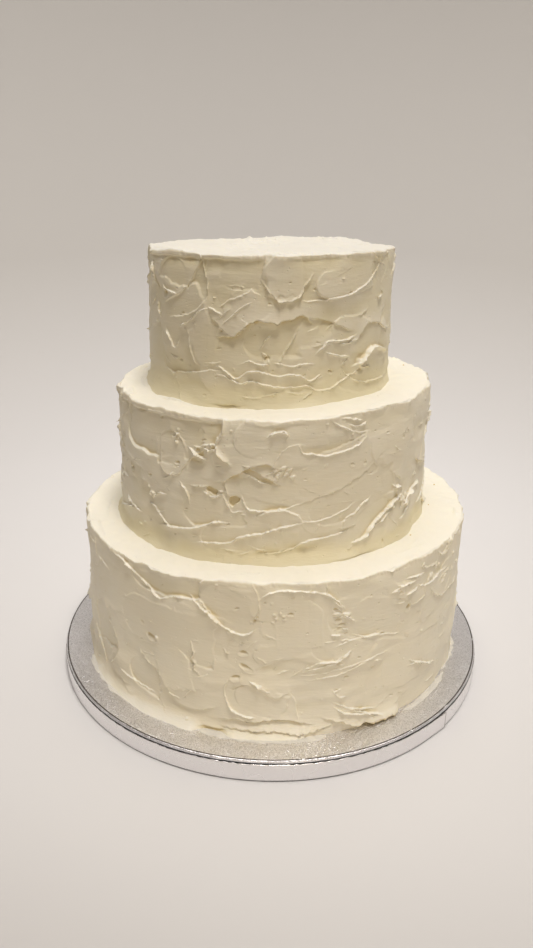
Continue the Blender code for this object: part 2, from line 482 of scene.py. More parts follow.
class Icing:
    """A sheet of icing as heights in mm over a flat or rolled-up grid, marked by a knife."""

    def __init__(self, width, low, high, seed, unit=None):
        self.columns = round(width / CELL)
        self.width, self.low = self.columns * CELL, low
        self.unit = unit or self.width / 360.0        # mm in one step along: a degree of a wall
        self.rows = math.ceil((high - low) / CELL) + 1
        self.along = np.arange(self.columns) * CELL
        self.u = self.along - self.width / 2
        self.degrees = self.u / self.unit
        self.chance = np.random.default_rng(seed)
        self.height = np.zeros((self.rows, self.columns))
        self.droop = np.zeros_like(self.height)

    def blurred(self, reach, field=None):
        """The heights, or another field, softened over a reach in mm."""
        field = self.height if field is None else field
        across = np.fft.rfftfreq(self.columns, CELL)
        up = np.fft.fftfreq(self.rows, CELL)[:, None]
        keep = np.exp(-2.0 * (np.pi * reach) ** 2 * (across ** 2 + up ** 2))
        return np.fft.irfft2(np.fft.rfft2(field) * keep, field.shape)

    def unevenness(self, depth, wave_along, wave_up):
        """Adds even noise of a depth in mm, with wavelengths along and up the sheet."""
        spectrum = np.fft.rfft2(self.chance.standard_normal(self.height.shape))
        along = np.fft.rfftfreq(self.columns, CELL) * wave_along
        up = np.fft.fftfreq(self.rows, CELL)[:, None] * wave_up
        reach = along ** 2 + up ** 2
        noise = np.fft.irfft2(spectrum * np.exp(-1.6 * reach) * np.sqrt(reach), self.height.shape)
        self.height += depth * noise / noise.std()

    def round_path(self, points, margin):
        """The grid window round a path: its place, and each point's mm along and across it."""
        path = smooth_path(np.array(points, float) * (self.unit, 1.0), 2.0)
        low, high = path.min(0) - margin, path.max(0) + margin
        columns = np.arange(math.floor((low[0] + self.width / 2) / CELL),
                            math.ceil((high[0] + self.width / 2) / CELL))
        rows = np.arange(max(0, int((low[1] - self.low) / CELL)),
                         min(self.rows, int((high[1] - self.low) / CELL) + 1))
        grid = np.meshgrid(columns * CELL - self.width / 2, rows * CELL + self.low)
        spots = np.stack([grid[0].ravel(), grid[1].ravel()], 1)
        starts, runs = path[:-1], np.diff(path, axis=0)
        sizes = np.hypot(runs[:, 0], runs[:, 1])
        before = np.concatenate([[0.0], np.cumsum(sizes)])
        least, most = np.zeros(len(runs)), np.ones(len(runs))
        least[0], most[-1] = -1e9, 1e9        # the end stretches run on, straight
        away = spots[:, None, :] - starts
        share = np.clip((away * runs).sum(2) / sizes ** 2, least, most)
        away -= share[..., None] * runs
        nearest = (away ** 2).sum(2).argmin(1)
        each = np.arange(len(spots))
        along = before[nearest] + share[each, nearest] * sizes[nearest]
        side = away[each, nearest]
        across = (runs[nearest, 0] * side[:, 1] - runs[nearest, 1] * side[:, 0]) / sizes[nearest]
        shape = grid[0].shape
        window = np.ix_(rows, columns % self.columns)
        return window, along.reshape(shape), across.reshape(shape), before[-1]

    def lip(self, points, rise, crest=0.0, reach=7.0, width=0.30, ragged=0.35, over=False):
        """A ridge left at the edge of a knife stroke, with icing proud below it, or over it."""
        window, along, across, length = self.round_path(points, 2.2 * reach + 3.0)
        chance = self.chance
        on = np.clip(along, 0.0, length)
        across = across + ragged * (wander(on, 2.2, chance) + 0.4 * wander(on, 0.9, chance))
        proud_side = across if over else -across
        # It fades out at both ends, and is stronger and weaker along its length.
        ends = fade(-0.12 * length - 1.0, 0.22 * length, along)
        ends *= fade(-0.12 * length - 1.0, 0.22 * length, length - along)
        past = np.maximum(-along, 0.0) ** 2 + np.maximum(along - length, 0.0) ** 2
        ends *= np.exp(-past / 4.0)
        strength = 0.9 + 0.6 * wander(on, 4.5, chance) + 0.45 * wander(on, 5.3 * width, chance)
        strength = np.clip(strength, 0.1, 1.7)
        # The icing is proud on one side, dips a little on the other, and curls over between.
        proud = np.exp(-np.maximum(proud_side, 0.0) / reach) * fade(-0.3, 0.3, proud_side)
        ridge = hump(proud_side - 0.1, width, 1.6)
        dip = -0.25 * np.exp(-np.maximum(-proud_side, 0.0) / 2.5) * fade(0.0, 0.8, -proud_side)
        self.height[window] += ends * (rise * (proud + dip) + 1.1 * crest * strength * ridge)
        droop = 0.9 * crest + 0.35 * rise if over else -0.25 * crest
        self.droop[window] += ends * strength * droop * hump(proud_side - 0.2, 1.3 * width)

    def fold(self, points, rise, crest=0.0, reach=7.0, width=0.30, ragged=0.35):
        """A lip whose proud icing lies above it, and hangs over."""
        self.lip(points, rise, crest, reach, width, ragged, over=True)

    def stroke(self, points, width, lift=0.0, tilt=0.0, keep=0.2, edge=1.7, dish=0.0,
               burrs=(0.0, 0.0), stop=0.0, grain=0.03):
        """A flat drawn by the knife along a path, with burrs at its sides and where it stops."""
        window, along, across, length = self.round_path(points, width / 2 + 4.0)
        chance = self.chance
        half = width / 2
        on = np.clip(along, 0.0, length)
        round_start = np.sqrt(np.clip(1.0 - np.clip(1.0 - along / half, 0.0, 1.0) ** 2, 1e-6, 1.0))
        reach = half * (1.0 + 0.12 * wander(on, 9.0, chance)) * round_start
        left = reach - across + 0.3 * wander(on, 2.0, chance)
        right = reach + across + 0.3 * wander(on, 2.5, chance)
        place = np.clip(across + width, 0.0, 2.0 * width)
        end = length - along + 1.2 * wander(place, 3.0, chance)
        mask = fade(0.0, edge, left) * fade(0.0, edge, right) * fade(0.0, edge, end)
        mask *= fade(-half, 3.0 - half, along)
        if mask.sum() < 20.0:         # hardly any of it lies on the sheet
            return
        # The flat follows the icing's own slope there, and is lifted, tilted and dished.
        old = self.height[window]
        plane = np.stack([np.ones(old.size), along.ravel(), across.ravel()], 1)
        weights = mask.ravel()[:, None]
        fit = np.linalg.lstsq(plane * weights, old.ravel() * weights[:, 0], rcond=None)[0]
        flat = (plane @ fit).reshape(old.shape) + lift + tilt * across / half
        flat += dish * ((across / half) ** 2 - 0.4)
        flat += grain * (wander(place, 0.9, chance) + wander(place, 2.1, chance))
        new = old + mask * (1.0 - keep) * (flat - old)
        inside = fade(-0.3 * width, 0.0, along) * fade(-1.0, 3.0, length - along)
        for burr, off_edge in zip(burrs, (left, right)):
            broken = np.clip(0.5 + 0.7 * wander(on, 5.0, chance), 0.0, 1.0)
            new += inside * burr * broken * hump(off_edge + 0.2, 0.8)
        heap = np.clip(0.7 + 0.5 * wander(place, 4.0, chance), 0.0, 1.2)
        between = fade(0.0, 2.0, left) * fade(0.0, 2.0, right)
        new += stop * heap * between * hump(end + 0.2, 0.9)
        self.height[window] = new

    def spot(self, place, size, stretch, heading):
        """The grid window round one place, and each point's distance from it in sizes."""
        turn = math.radians(heading)
        run = np.array((math.cos(turn) * size / self.unit, math.sin(turn) * size))
        ends = [np.array(place) - run, np.array(place) + run]
        window, along, across, length = self.round_path(ends, 3.0 * size * stretch)
        x = (along - length / 2) / (size * stretch)
        y = across / size
        bumps = self.chance.uniform(-1.0, 1.0, 4)
        angle = np.arctan2(y, x)
        ragged = 0.18 * bumps[0] * np.cos(2 * angle + bumps[1])
        ragged += 0.15 * bumps[2] * np.cos(3 * angle + bumps[3])
        upwards = x * math.sin(turn) + y * math.cos(turn)
        return window, np.hypot(x, y) * (1.0 + ragged), np.clip(upwards, -1.0, 1.0)

    def pit(self, place, size, depth, stretch=1.3, heading=0.0):
        """A hole torn in the icing, deepest under its upper edge, with a raised lower edge."""
        window, distance, upwards = self.spot(place, size, stretch, heading)
        self.height[window] -= depth * fade(1.2, 0.6, distance) * np.clip(0.4 + 0.8 * upwards, 0.0, 1.1)
        self.height[window] += depth * hump(distance - 1.25, 0.25) * (0.12 - 0.12 * upwards)

    def lump(self, place, size, height, stretch=1.3, heading=0.0):
        """A small lump of icing stuck on the surface."""
        window, distance, _ = self.spot(place, size, stretch, heading)
        self.height[window] += height * fade(1.3, 0.5, distance)

    def marks(self):
        """The marks a knife can leave, to be made one after another."""
        return self.stroke, self.lip, self.fold, self.pit, self.lump

    def sampled(self, field, u, v):
        """A field's values at places in mm along and up the sheet."""
        column = (u + self.width / 2) / CELL
        row = np.clip((v - self.low) / CELL, 0.0, self.rows - 1.001)
        c, r = np.floor(column).astype(int), row.astype(int)
        s, t = column - c, row - r
        near, far = c % self.columns, (c + 1) % self.columns
        below = field[r, near] * (1 - s) + field[r, far] * s
        above = field[r + 1, near] * (1 - s) + field[r + 1, far] * s
        return below * (1 - t) + above * t


class Tier:
    """One tier: its plain form, measured on its CAD node, and the icing over it."""

    SAMPLES = 240
    TOP_PROBE, SEAT_PROBE = 0.88, 0.7     # of the foot's radius, where their slopes are measured

    def __init__(self, node, next_node, seed, sheer, bounce_glow=0.8):
        self.node, self.sheer, self.bounce_glow = node, sheer, bounce_glow
        low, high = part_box(node)
        self.centre = ((low + high) / 2).xy
        self.solid = BVHTree.FromObject(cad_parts[node], bpy.context.evaluated_depsgraph_get())
        self.turns = np.arange(self.SAMPLES) * math.tau / self.SAMPLES - math.pi
        self.foot_radius = (high.x - low.x) / 2
        self.seat = self.levels(self.SEAT_PROBE * self.foot_radius, low.z - 0.01, 1)
        self.crown = self.levels(self.TOP_PROBE * self.foot_radius, high.z + 0.01, -1)
        self.tall = (self.crown - self.seat).mean() / MM
        wall_rings = np.arange(SWEEP_HEIGHT, self.tall - 4.0, WALL_RING_STEP)
        self.heights = np.array([*FOOT_RINGS, *wall_rings, self.tall - CORNER - 0.4])
        self.radii = np.array([self.girth(height) for height in self.heights])
        self.rim_radius = self.radii[-1].mean()
        self.inner_radius = 0.0
        if next_node:
            next_low, next_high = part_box(next_node)
            self.inner_radius = (next_high.x - next_low.x) / 2 - 0.005
        self.wall = Icing(math.tau * self.rim_radius / MM, -WALL_MARGIN, self.tall + WALL_MARGIN, seed)
        wide = self.rim_radius / MM + 8.0
        self.top = Icing(2.0 * wide, -wide, wide, seed + 1, unit=1.0)
        self.rim_out, self.rim_up, self.rim_fray = np.zeros((3, self.wall.columns))
        self.sweep = np.ones(self.wall.columns)
        self.girths = [self.round_about(ring, np.radians(self.wall.degrees)) for ring in self.radii]

    def softened(self, values, reach=2.0):
        """Values round the tier, with the CAD's short flat sides rounded off."""
        waves = np.fft.rfftfreq(self.SAMPLES, 1.0 / self.SAMPLES)
        keep = np.exp(-0.5 * (waves * math.radians(reach)) ** 2)
        return np.fft.irfft(np.fft.rfft(values) * keep, self.SAMPLES)

    def spot_at(self, turn, radius):
        return (self.centre.x + radius * math.sin(turn), self.centre.y - radius * math.cos(turn))

    def levels(self, radius, start, way):
        """The height of the top or the seat round a ring, probed straight up or down."""
        probes = [Vector((*self.spot_at(turn, radius), start)) for turn in self.turns]
        found = [self.solid.ray_cast(probe, Vector((0, 0, way)))[0].z for probe in probes]
        return self.softened(np.array(found))

    def girth(self, height):
        """The wall's radius round the tier at a height in mm above its seat."""
        found = []
        for turn, seat, crown in zip(self.turns, self.seat, self.crown):
            x, y = self.spot_at(turn, 2.0 * self.foot_radius)
            level = seat + (crown - seat) * height / self.tall
            inwards = Vector((self.centre.x - x, self.centre.y - y, 0)).normalized()
            hit = self.solid.ray_cast(Vector((x, y, level)), inwards)[0]
            found.append(math.hypot(hit.x - self.centre.x, hit.y - self.centre.y))
        return self.softened(np.array(found))

    def round_about(self, values, turns):
        """Values measured round the tier, read at any turns."""
        return np.interp(turns, self.turns, values, period=math.tau)

    def turned_from(self, turn):
        """How far each column of the wall is from a turn, in degrees."""
        return (self.wall.degrees - turn + 180.0) % 360.0 - 180.0

    def beyond(self, start, end):
        """How far each column of the wall is outside two turns, in degrees."""
        return np.abs(self.turned_from((start + end) / 2)) - (end - start) / 2

    def work_over(self, strokes, ridges, seen=70.0):
        """Covers the wall in knife strokes, and puts ridges and pits on its far side."""
        wall, chance = self.wall, self.wall.chance
        wall.unevenness(0.45, 45.0, 30.0)
        wall.unevenness(0.12, 16.0, 9.0)

        def bent_path(low_length, high_length):
            turn = chance.uniform(-180.0, 180.0)
            height = chance.uniform(4.0, self.tall - 4.0)
            length = chance.uniform(low_length, high_length)
            heading, bend = math.radians(chance.normal(8.0, 28.0)), chance.uniform(-6.0, 6.0)
            run = length * math.cos(heading) / wall.unit, length * math.sin(heading)
            path = [(turn + t * run[0], height + t * run[1] + bend * (1.0 - 4.0 * t * t) / 2.0)
                    for t in (-0.5, 0.0, 0.5)]
            return turn, path

        for _ in range(strokes):
            turn, path = bent_path(25.0, 70.0)
            far = abs(turn) > seen + 8.0
            burrs = chance.uniform(-0.9, 0.9, 2).clip(0.0) * far
            stop = max(0.0, chance.uniform(-1.1, 1.1)) * far
            wall.stroke(path, chance.uniform(14.0, 26.0), lift=chance.uniform(-0.35, 0.35),
                        tilt=chance.uniform(-0.4, 0.4), keep=0.35, edge=0.9 if far else 2.5,
                        burrs=burrs, stop=stop)
        for _ in range(ridges):
            turn, path = bent_path(8.0, 38.0)
            kind = chance.random()
            rise, crest, reach = chance.uniform(0.2, 0.9), chance.uniform(0.2, 1.2), chance.uniform(3, 10)
            if abs(turn) < seen:
                (x, y), (tip_x, tip_y) = path[1:]
                short = [(x + t * (tip_x - x), y + t * (tip_y - y) + crest * t * t)
                         for t in (-0.3, 0.0, 0.3)]
                wall.lip(short, 0.3 * rise, 0.2 + 0.3 * crest, 2.5, over=kind < 0.4)
            elif kind < 0.12:
                wall.pit(path[1], chance.uniform(0.9, 2.6), 0.5 + rise, 1.6, 60.0 * crest)
            elif kind < 0.2:
                wall.lump(path[1], chance.uniform(0.8, 1.6), crest, 1.5, 60.0 * rise)
            else:
                wall.lip(path, rise, crest, reach, over=kind < 0.55)

    def level_off(self, ridges):
        """Leaves the flat of the top with the shallow turns of a knife held level."""
        top, chance = self.top, self.top.chance
        top.unevenness(0.22, 40.0, 40.0)
        top.unevenness(0.13, 9.0, 9.0)
        for _ in range(ridges):
            radius = chance.uniform(self.inner_radius / MM + 3.0, self.rim_radius / MM - 3.0)
            start, sweep = chance.uniform(0.0, math.tau), chance.uniform(12.0, 40.0) / max(radius, 15.0)
            skew = chance.uniform(-4.0, 4.0)
            path = [((radius + skew * t) * math.sin(start + sweep * t),
                     (radius + skew * t) * -math.cos(start + sweep * t)) for t in (0.0, 0.5, 1.0)]
            top.lip(path, chance.uniform(0.3, 0.9), chance.uniform(0.1, 0.7),
                    over=chance.random() < 0.5, reach=chance.uniform(4.0, 12.0))

    def fray_rim(self, depth):
        """Lets the rim wander in and out, and up and down."""
        columns = self.wall.columns
        for line, share in ((self.rim_out, 1.0), (self.rim_up, 0.6)):
            for number, wave in enumerate(RIM_WAVES):
                noise = self.wall.chance.standard_normal(columns)
                pace = np.fft.rfftfreq(columns, CELL) * wave
                noise = np.fft.irfft(np.fft.rfft(noise) * np.exp(-pace ** 2) * pace, columns)
                moved = line if wave > 8.0 else self.rim_fray
                moved += share * depth / (1.0 + number * 1.6) * noise / noise.std()

    def rim_mark(self, turn, spread, out=0.0, up=0.0):
        """Pushes the rim out or up in mm, round a turn in degrees."""
        push = hump(self.turned_from(turn), spread)
        self.rim_out += out * push
        self.rim_up += up * push

    def scrape_rim(self, start, end, count):
        """Leaves a stretch of the rim rough, with short scrapes down the wall below it."""
        chance = self.wall.chance
        for _ in range(count):
            turn = chance.uniform(start, end)
            self.rim_mark(turn, chance.uniform(0.5, 1.6), chance.uniform(-0.6, 0.7),
                          chance.uniform(-0.5, 0.7))
            high, drop = self.tall - chance.uniform(0.5, 4.0), chance.uniform(3.0, 13.0)
            lean = chance.uniform(-2.5, 2.5)
            self.wall.lip([(turn, high), (turn + lean / 2, high - 0.5 * drop), (turn + lean, high - drop)],
                          chance.uniform(0.1, 0.35), chance.uniform(0.1, 0.5), 2.5,
                          over=chance.random() < 0.5)

    def set_back(self, start, end, low, high, depth, soft=4.0, step=1.5):
        """Sets the icing back between two turns and two heights, under icing left proud."""
        wall = self.wall
        level = (np.arange(wall.rows) * CELL + wall.low)[:, None]
        low_edge = low + 1.5 * wander(wall.along, 9.0, wall.chance)
        above = high + 0.3 * wander(wall.along, 3.0, wall.chance)
        wall.height -= depth * fade(soft, -soft, self.beyond(start, end)) \
            * fade(low_edge - 3.0, low_edge + 9.0, level) * fade(above, above - step, level)

    def tuck_foot(self, start, end, share, soft=5.0):
        """Keeps only a share of the foot's outward sweep between two turns in degrees."""
        self.sweep *= 1.0 - (1.0 - share) * fade(soft, -soft, self.beyond(start, end))

    def flare_foot(self, start, end, share):
        """Drags the foot out over the board in a tongue that ends sharply at its second turn."""
        away = self.turned_from(end)
        self.sweep += share * fade(start - end, 0.0, away) * fade(0.8, -0.2, away)

    def form_at(self, height):
        """The radius of the plain form round the tier, at a height in mm."""
        girths, wall_girth = self.girths, self.girths[FIRST_WALL_RING]
        row = np.clip(np.searchsorted(self.heights, height) - 1, 0, len(self.heights) - 2)
        t = np.clip((height - self.heights[row]) / (self.heights[row + 1] - self.heights[row]), 0, 1)
        radius = girths[row] * (1 - t) + girths[row + 1] * t
        if height < self.heights[FIRST_WALL_RING]:
            radius = wall_girth
        if height < SWEEP_HEIGHT:
            spare = np.maximum(girths[0] - wall_girth + 0.0004, LEAST_SWEEP * MM)
            radius = radius + self.sweep * spare * (1.0 - height / SWEEP_HEIGHT) ** 2.6
        return radius

    def settle_foot(self, reach=14.0, overhang=0.06):
        """Fills the icing out under any bulge near the foot, so that it meets what it sits on."""
        wall, above = self.wall, None
        broad = wall.blurred(2.5)
        filled = np.zeros_like(broad)
        for row in reversed(range(int((reach - wall.low) / CELL))):
            whole = self.form_at(row * CELL + wall.low) / MM + broad[row]
            if above is not None:
                filled[row] = np.maximum(above - overhang * CELL - whole, 0.0)
            above = whole + filled[row]
        wall.height += wall.blurred(1.5, filled)

    def deepen(self, share):
        """Makes the knife's marks deeper by a share, and leaves the broad form as it is."""
        self.wall.height += share * (self.wall.height - self.wall.blurred(12.0))

    def air_holes(self, count):
        """The small air holes and specks that the knife opens and drags in the icing."""
        wall, chance = self.wall, self.wall.chance
        for _ in range(count):
            place = chance.uniform(-180.0, 180.0), chance.uniform(3.0, self.tall - 2.0)
            size, depth = chance.uniform(0.4, 0.8), chance.uniform(0.35, 0.9)
            stretch, heading = chance.uniform(1.0, 2.4), chance.uniform(-20.0, 40.0)
            if chance.random() < 0.65:
                wall.pit(place, size, depth, stretch, heading)
            else:
                wall.lump(place, size, 0.7 * depth, stretch, heading)

    def flat_level(self, crown, radius):
        """How high the plain top lies, out from its middle towards a point of its rim."""
        middle = self.crown.mean()
        return middle + (crown - middle) * (radius / (self.TOP_PROBE * self.foot_radius))

    def ledge_at(self, turn, radius):
        """A point on the top, at a turn in degrees and a radius from the tier's centre."""
        turn = math.radians(turn)
        x, y = radius * math.sin(turn), -radius * math.cos(turn)
        level = self.flat_level(self.round_about(self.crown, turn), radius)
        lift = self.top.sampled(self.top.height, x / MM, y / MM)
        return (self.centre.x + x, self.centre.y + y, level + MM * lift)

    def rings(self):
        """Every ring of points from inside the foot, up the wall and in over the top."""
        wall, top, corner = self.wall, self.top, self.tall - CORNER
        turns = wall.degrees * math.pi / 180.0
        out_x, out_y = np.sin(turns), -np.cos(turns)
        seat, crown = self.round_about(self.seat, turns), self.round_about(self.crown, turns)

        def ring(radius, level):
            return np.stack([self.centre.x + radius * out_x, self.centre.y + radius * out_y, level], 1)

        def lift_at(radius):
            return top.sampled(top.height, radius / MM * out_x, radius / MM * out_y)

        foot = self.form_at(FOOT_BURIED) + MM * wall.sampled(wall.height, wall.u, FOOT_BURIED)
        buried = seat + 1.3 * FOOT_BURIED * MM
        rings = [ring(0.55 * foot, buried), ring(foot - 0.0003, buried)]
        for height in np.arange(FOOT_BURIED, corner, CELL):
            below = corner - height
            droop = wall.sampled(wall.droop, wall.u, height) * fade(0.0, 3.0, height) * fade(0.0, 4.0, below)
            near_rim = math.exp(-(below / 3.5) ** 2)
            push = wall.sampled(wall.height, wall.u, height) + near_rim * self.rim_out \
                + self.rim_fray * math.exp(-(below / 0.9) ** 2)
            level = seat + (crown - seat) * height / self.tall - MM * (droop - near_rim * self.rim_up)
            rings.append(ring(self.form_at(height) + MM * push, level))
        corner_radius = self.form_at(corner) - MM * CORNER
        for number in range(CORNER_STEPS):
            angle = math.pi / 2 * (number + 0.5) / CORNER_STEPS
            out, up = math.cos(angle), math.sin(angle)
            push = wall.sampled(wall.height, wall.u, corner + CORNER * up) * out
            push += (self.rim_out + self.rim_fray) * out ** 0.5
            radius = corner_radius + MM * (CORNER * out + push)
            lift = lift_at(radius) * up + self.rim_up
            rings.append(ring(radius, crown + MM * (CORNER * (up - 1.0) + lift)))
        inner = max(self.inner_radius, 0.002)
        run = (corner_radius.mean() - inner) / MM
        for distance in np.arange(0.0, run, TOP_STEP):
            share = distance / run
            near_rim = math.exp(-(distance / 3.0) ** 2)
            radius = corner_radius * (1 - share) + inner * share + MM * near_rim * self.rim_out
            lift = lift_at(radius) + near_rim * self.rim_up
            rings.append(ring(radius, self.flat_level(crown, radius) + MM * lift))
        return rings

    def note_marks(self, mesh):
        """Notes for each point how deep in a hollow it lies, in mm, and how much painted shade its wall
        takes.
        """
        co = np.zeros(3 * len(mesh.vertices))
        mesh.vertices.foreach_get("co", co)
        x, y, level = co.reshape(-1, 3).T
        x, y = x - self.centre.x, y - self.centre.y
        turns = np.arctan2(x, -y)
        seat, crown = self.round_about(self.seat, turns), self.round_about(self.crown, turns)
        height = (level - seat) / (crown - seat) * self.tall
        wall, top = self.wall, self.top
        u = turns * 180.0 / math.pi * wall.unit
        on_wall = wall.sampled(wall.height - wall.blurred(2.5), u, height)
        on_top = top.sampled(top.height - top.blurred(2.5), x / MM, y / MM)
        up = fade(self.tall - 3.0, self.tall - 0.5, height)
        note_on_points(mesh, "hollow", on_wall * (1 - up) + on_top * up)
        # The 'thin' note is painted shade: each tier's own amount on its walls, more in broad hollows, and
        # painted yellow bounce light near the foot.
        wide = wall.sampled(wall.blurred(1.0) - wall.blurred(8.0), u, height)
        near_foot = self.bounce_glow * fade(17.0, 3.0, height)
        note_on_points(mesh, "thin", (1 - up) * (self.sheer + near_foot - 0.5 * wide))

    def spread(self, name, material):
        """Makes the tier's piece from its rings, thinned where the icing is smooth."""
        rings = self.rings()
        mesh = ring_mesh(name, rings, (*self.centre, self.seat.mean() - 0.0006),
                         (*self.centre, rings[-1][:, 2].mean()))
        thing = put_in_scene(name, mesh)
        thin = thing.modifiers.new("Thin", "DECIMATE")
        thin.ratio = min(1.0, PIECE_TRIANGLES / (2 * len(rings) * self.wall.columns))
        crisp = thing.modifiers.new("Crisp", "WEIGHTED_NORMAL")
        crisp.mode = "FACE_AREA"
        crisp.weight = 70
        piece = plain_piece(name, thing)
        bpy.data.meshes.remove(mesh)
        piece.data.materials.append(material)
        self.note_marks(piece.data)
        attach(piece, "root")
        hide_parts(self.node)


def buttercream():
    """Ivory buttercream: soft, a little see-through, satin where the knife has drawn it."""
    tree, finish = new_material("buttercream")
    place = tree.place()
    hollow, thin = (tree.node("ShaderNodeAttribute", {"attribute_name": label}).outputs["Fac"]
                    for label in ("hollow", "thin"))
    tone = mottled(tree, place, 22.0, 3.0, 0.3, 0.7, CREAM_TONES)[0]
    facing = tree.parts(tree.node("ShaderNodeNewGeometry").outputs["Normal"])[2]
    # Painted light: faces turned up take a paler, cooler tone, and the topmost face a darker one as painted
    # shade.
    painted_upward_tone = tree.mix(tree.band(tree.parts(place)[2], 0.22, 0.28), UPWARD_LIT_TONE, TOP_FACE_SHADE_TONE)
    tone = tree.mix(tree.band(facing, 0.35, 0.85), tone, painted_upward_tone)
    # Painted shade on the walls through the 'thin' note: the tier's own amount, painted bounce light near the
    # foot, and painted shade in broad hollows.
    tone = tree.mix(tree.band(thin, 0.05, 1.0, 0.0, 0.8), tone, WALL_SHADE_TONE)
    # Painted shade in the pits and hollows.
    tone = tree.mix(tree.band(hollow, -0.2, -0.8, 0.0, 0.9), tone, HOLLOW_SHADE_TONE)
    dragged = tree.noise(tree.vector("MULTIPLY", place, (0.35, 0.35, 1.6)), 420.0, 3.0, 0.6)
    holes = tree.node("ShaderNodeTexVoronoi", Vector=place, Scale=260.0).outputs
    few = tree.times(tree.band(holes["Distance"], 0.15, 0.08), tree.band(holes["Color"], 0.62, 0.66))
    height = tree.minus(tree.times(dragged, 0.5), tree.times(few, 0.5))
    return finish(height, 0.85, 0.0005, Base_Color=tone, Specular_IOR_Level=0.4,
                  Roughness=tree.band(dragged, 0.3, 0.7, 0.42, 0.60), Subsurface_Weight=0.12,
                  Subsurface_Radius=(1.0, 0.85, 0.5), Subsurface_Scale=0.0010)


icing_coat = buttercream()
bottom = Tier("tier_bottom", "tier_middle", seed=2, sheer=0.0, bounce_glow=0.1)
bottom.work_over(84, 130)
bottom.level_off(20)
bottom.fray_rim(0.35)
stroke, lip, fold, pit, lump = bottom.wall.marks()
# The broad flats first, and then the ridges, pits and lumps that lie over them.
stroke([(-44, 64), (-14, 60)], 34, 0.3, 0.1, grain=0.02)
stroke([(-40, 93), (-18, 96)], 18, -0.4, 0.4, 0.25)
stroke([(-18, 92), (-6, 82)], 22, -0.2, 0.2)
stroke([(6, 92), (7, 60)], 30, 0.1, 0.1, 0.25)
stroke([(20, 80), (36, 66)], 28, 0.1, 0, 0.25)
stroke([(30, 34), (54, 30)], 34, 0, -0.2)
stroke([(-57, 56), (-54, 24)], 30, -1.0, dish=0.8)
stroke([(-42, 24), (-30, 20)], 22, -0.7, 0.2)
stroke([(-28, 52), (-25, 22)], 26, 0.4, 0, 0.25, edge=1.2)
stroke([(-9, 30), (4, 18)], 22, 0.2, 0.2, 0.15)
# The long ridge that falls from the rim at the left and rises again at the front.
lip([(-47, 99.5), (-43.5, 98), (-40, 94.5), (-37, 91), (-33.5, 87.5), (-31, 84), (-29.5, 82.3), (-28, 84),
     (-26, 86), (-23, 87), (-20, 87)], 0.7, 0.9, 12, ragged=0.25)
lip([(-20.5, 88.5), (-18, 83.5), (-15, 78), (-12.5, 72.5), (-10, 69.5), (-7.5, 68), (-5.5, 69.5),
     (-4.5, 71)], 0.6, 1.2, 10, ragged=0.25)
lip([(-5, 102), (-3.8, 96), (-3.2, 90), (-3.3, 84), (-4, 79.5), (-5, 76)], 0.4, 0.5, 5)
pit((-3.8, 80), 1.0, 0.8)
pit((-4.4, 77.5), 1.1, 0.9)
lip([(-3, 91.5), (-1.5, 94.5), (1, 96.5), (4.5, 97.2), (9, 96.2), (13, 94), (15, 91), (16.5, 87.5),
     (17.8, 84)], 0.5, 0.8, 6)
lump((16.2, 80.3), 1.6, 1.0, 1.6, -10)
lump((18.5, 79.3), 1.4, 1.1, 1.6, -20)
for turn, height, size in ((15.6, 83.5, 1.0), (16.5, 76, 1.5), (17.5, 73, 1.2), (16.8, 70, 1.3),
                           (4.5, 82, 1.1), (17, 48, 1.1), (27, 38.5, 1.0), (19, 37.5, 1.0)):
    pit((turn, height), size, 0.9, 1.8)
for place in ((0.5, 82), (2, 83), (2.8, 81), (1, 79.5), (3, 79), (0.2, 77)):
    lump(place, 0.8, 0.5)
fold([(-20.6, 58), (-20, 53), (-20.5, 48), (-19.5, 44), (-20.2, 41), (-18.5, 38)], 0.2, 0.9, ragged=0.8)
pit((-33.4, 52.5), 2.3, 1.6, 1.6, -10)
lump((-31.4, 54), 1.0, 0.9)
pit((-36.5, 60), 1.4, 0.6)
pit((-7, 55.8), 1.9, 1.3)
pit((-6.2, 46), 1.9, 1.2, 2, -30)
pit((-9, 38.6), 1.9, 1.2, 1.5, 20)
lip([(-11, 37), (-11.7, 32), (-11.7, 26), (-11.2, 21)], 0.3, 0.4)
lip([(-11.3, 22), (-10, 16.5), (-7.5, 13.5), (-4.5, 12)], 0.4, 1.2, 4)
fold([(-9, 33), (-5.5, 35.5), (-2.5, 32), (-0.5, 28), (1.5, 27), (4.5, 30)], 0.8, 0.3, 5)
lip([(-5, 37.5), (-3, 34.5), (-0.5, 31)], 0.3, 1.1, 3)
lump((-3, 34.5), 1.2, 0.8)
lip([(4.5, 31), (5.8, 26), (6.5, 20), (7, 12)], 0.5, 0.2, 6)
fold([(-12.5, 9), (-9, 11), (-5, 10.5), (-1, 11.5), (3, 11.5), (6, 10.5), (10, 8)], 1.3, 0.5, 7, ragged=0.5)
fold([(-12, 3.4), (-6, 4.6), (0, 4.2), (4, 3.4), (8, 2.8), (12, 4), (16, 6.5)], 1.2, 0.5, 3, ragged=0.5)
fold([(-38, 39), (-35.5, 34.5), (-33, 31.5), (-30.5, 28.5)], 0.3, 1.0, 6)
fold([(-30.8, 28), (-28.5, 22), (-27, 17), (-25.5, 13.5), (-22, 11.3), (-18, 12.6), (-14, 16)], 0.8, 0.1, 8)
fold([(-53.5, 57.8), (-51.3, 47.7), (-48.5, 42), (-47.1, 34), (-47.3, 27), (-49, 20), (-52, 13)], 1.0, 0.55,
      9)
lip([(-64, 29), (-60.9, 21.9), (-57.6, 14.1), (-55.8, 7)], 0.6, 0.7, 5)
fold([(-49.9, 12.4), (-46.2, 9.5), (-42.2, 8.5)], 0.5, 0.2, 4)
lip([(-46, 17), (-42, 15), (-38, 13.5), (-33, 13)], 0.6, 0.3, 9)
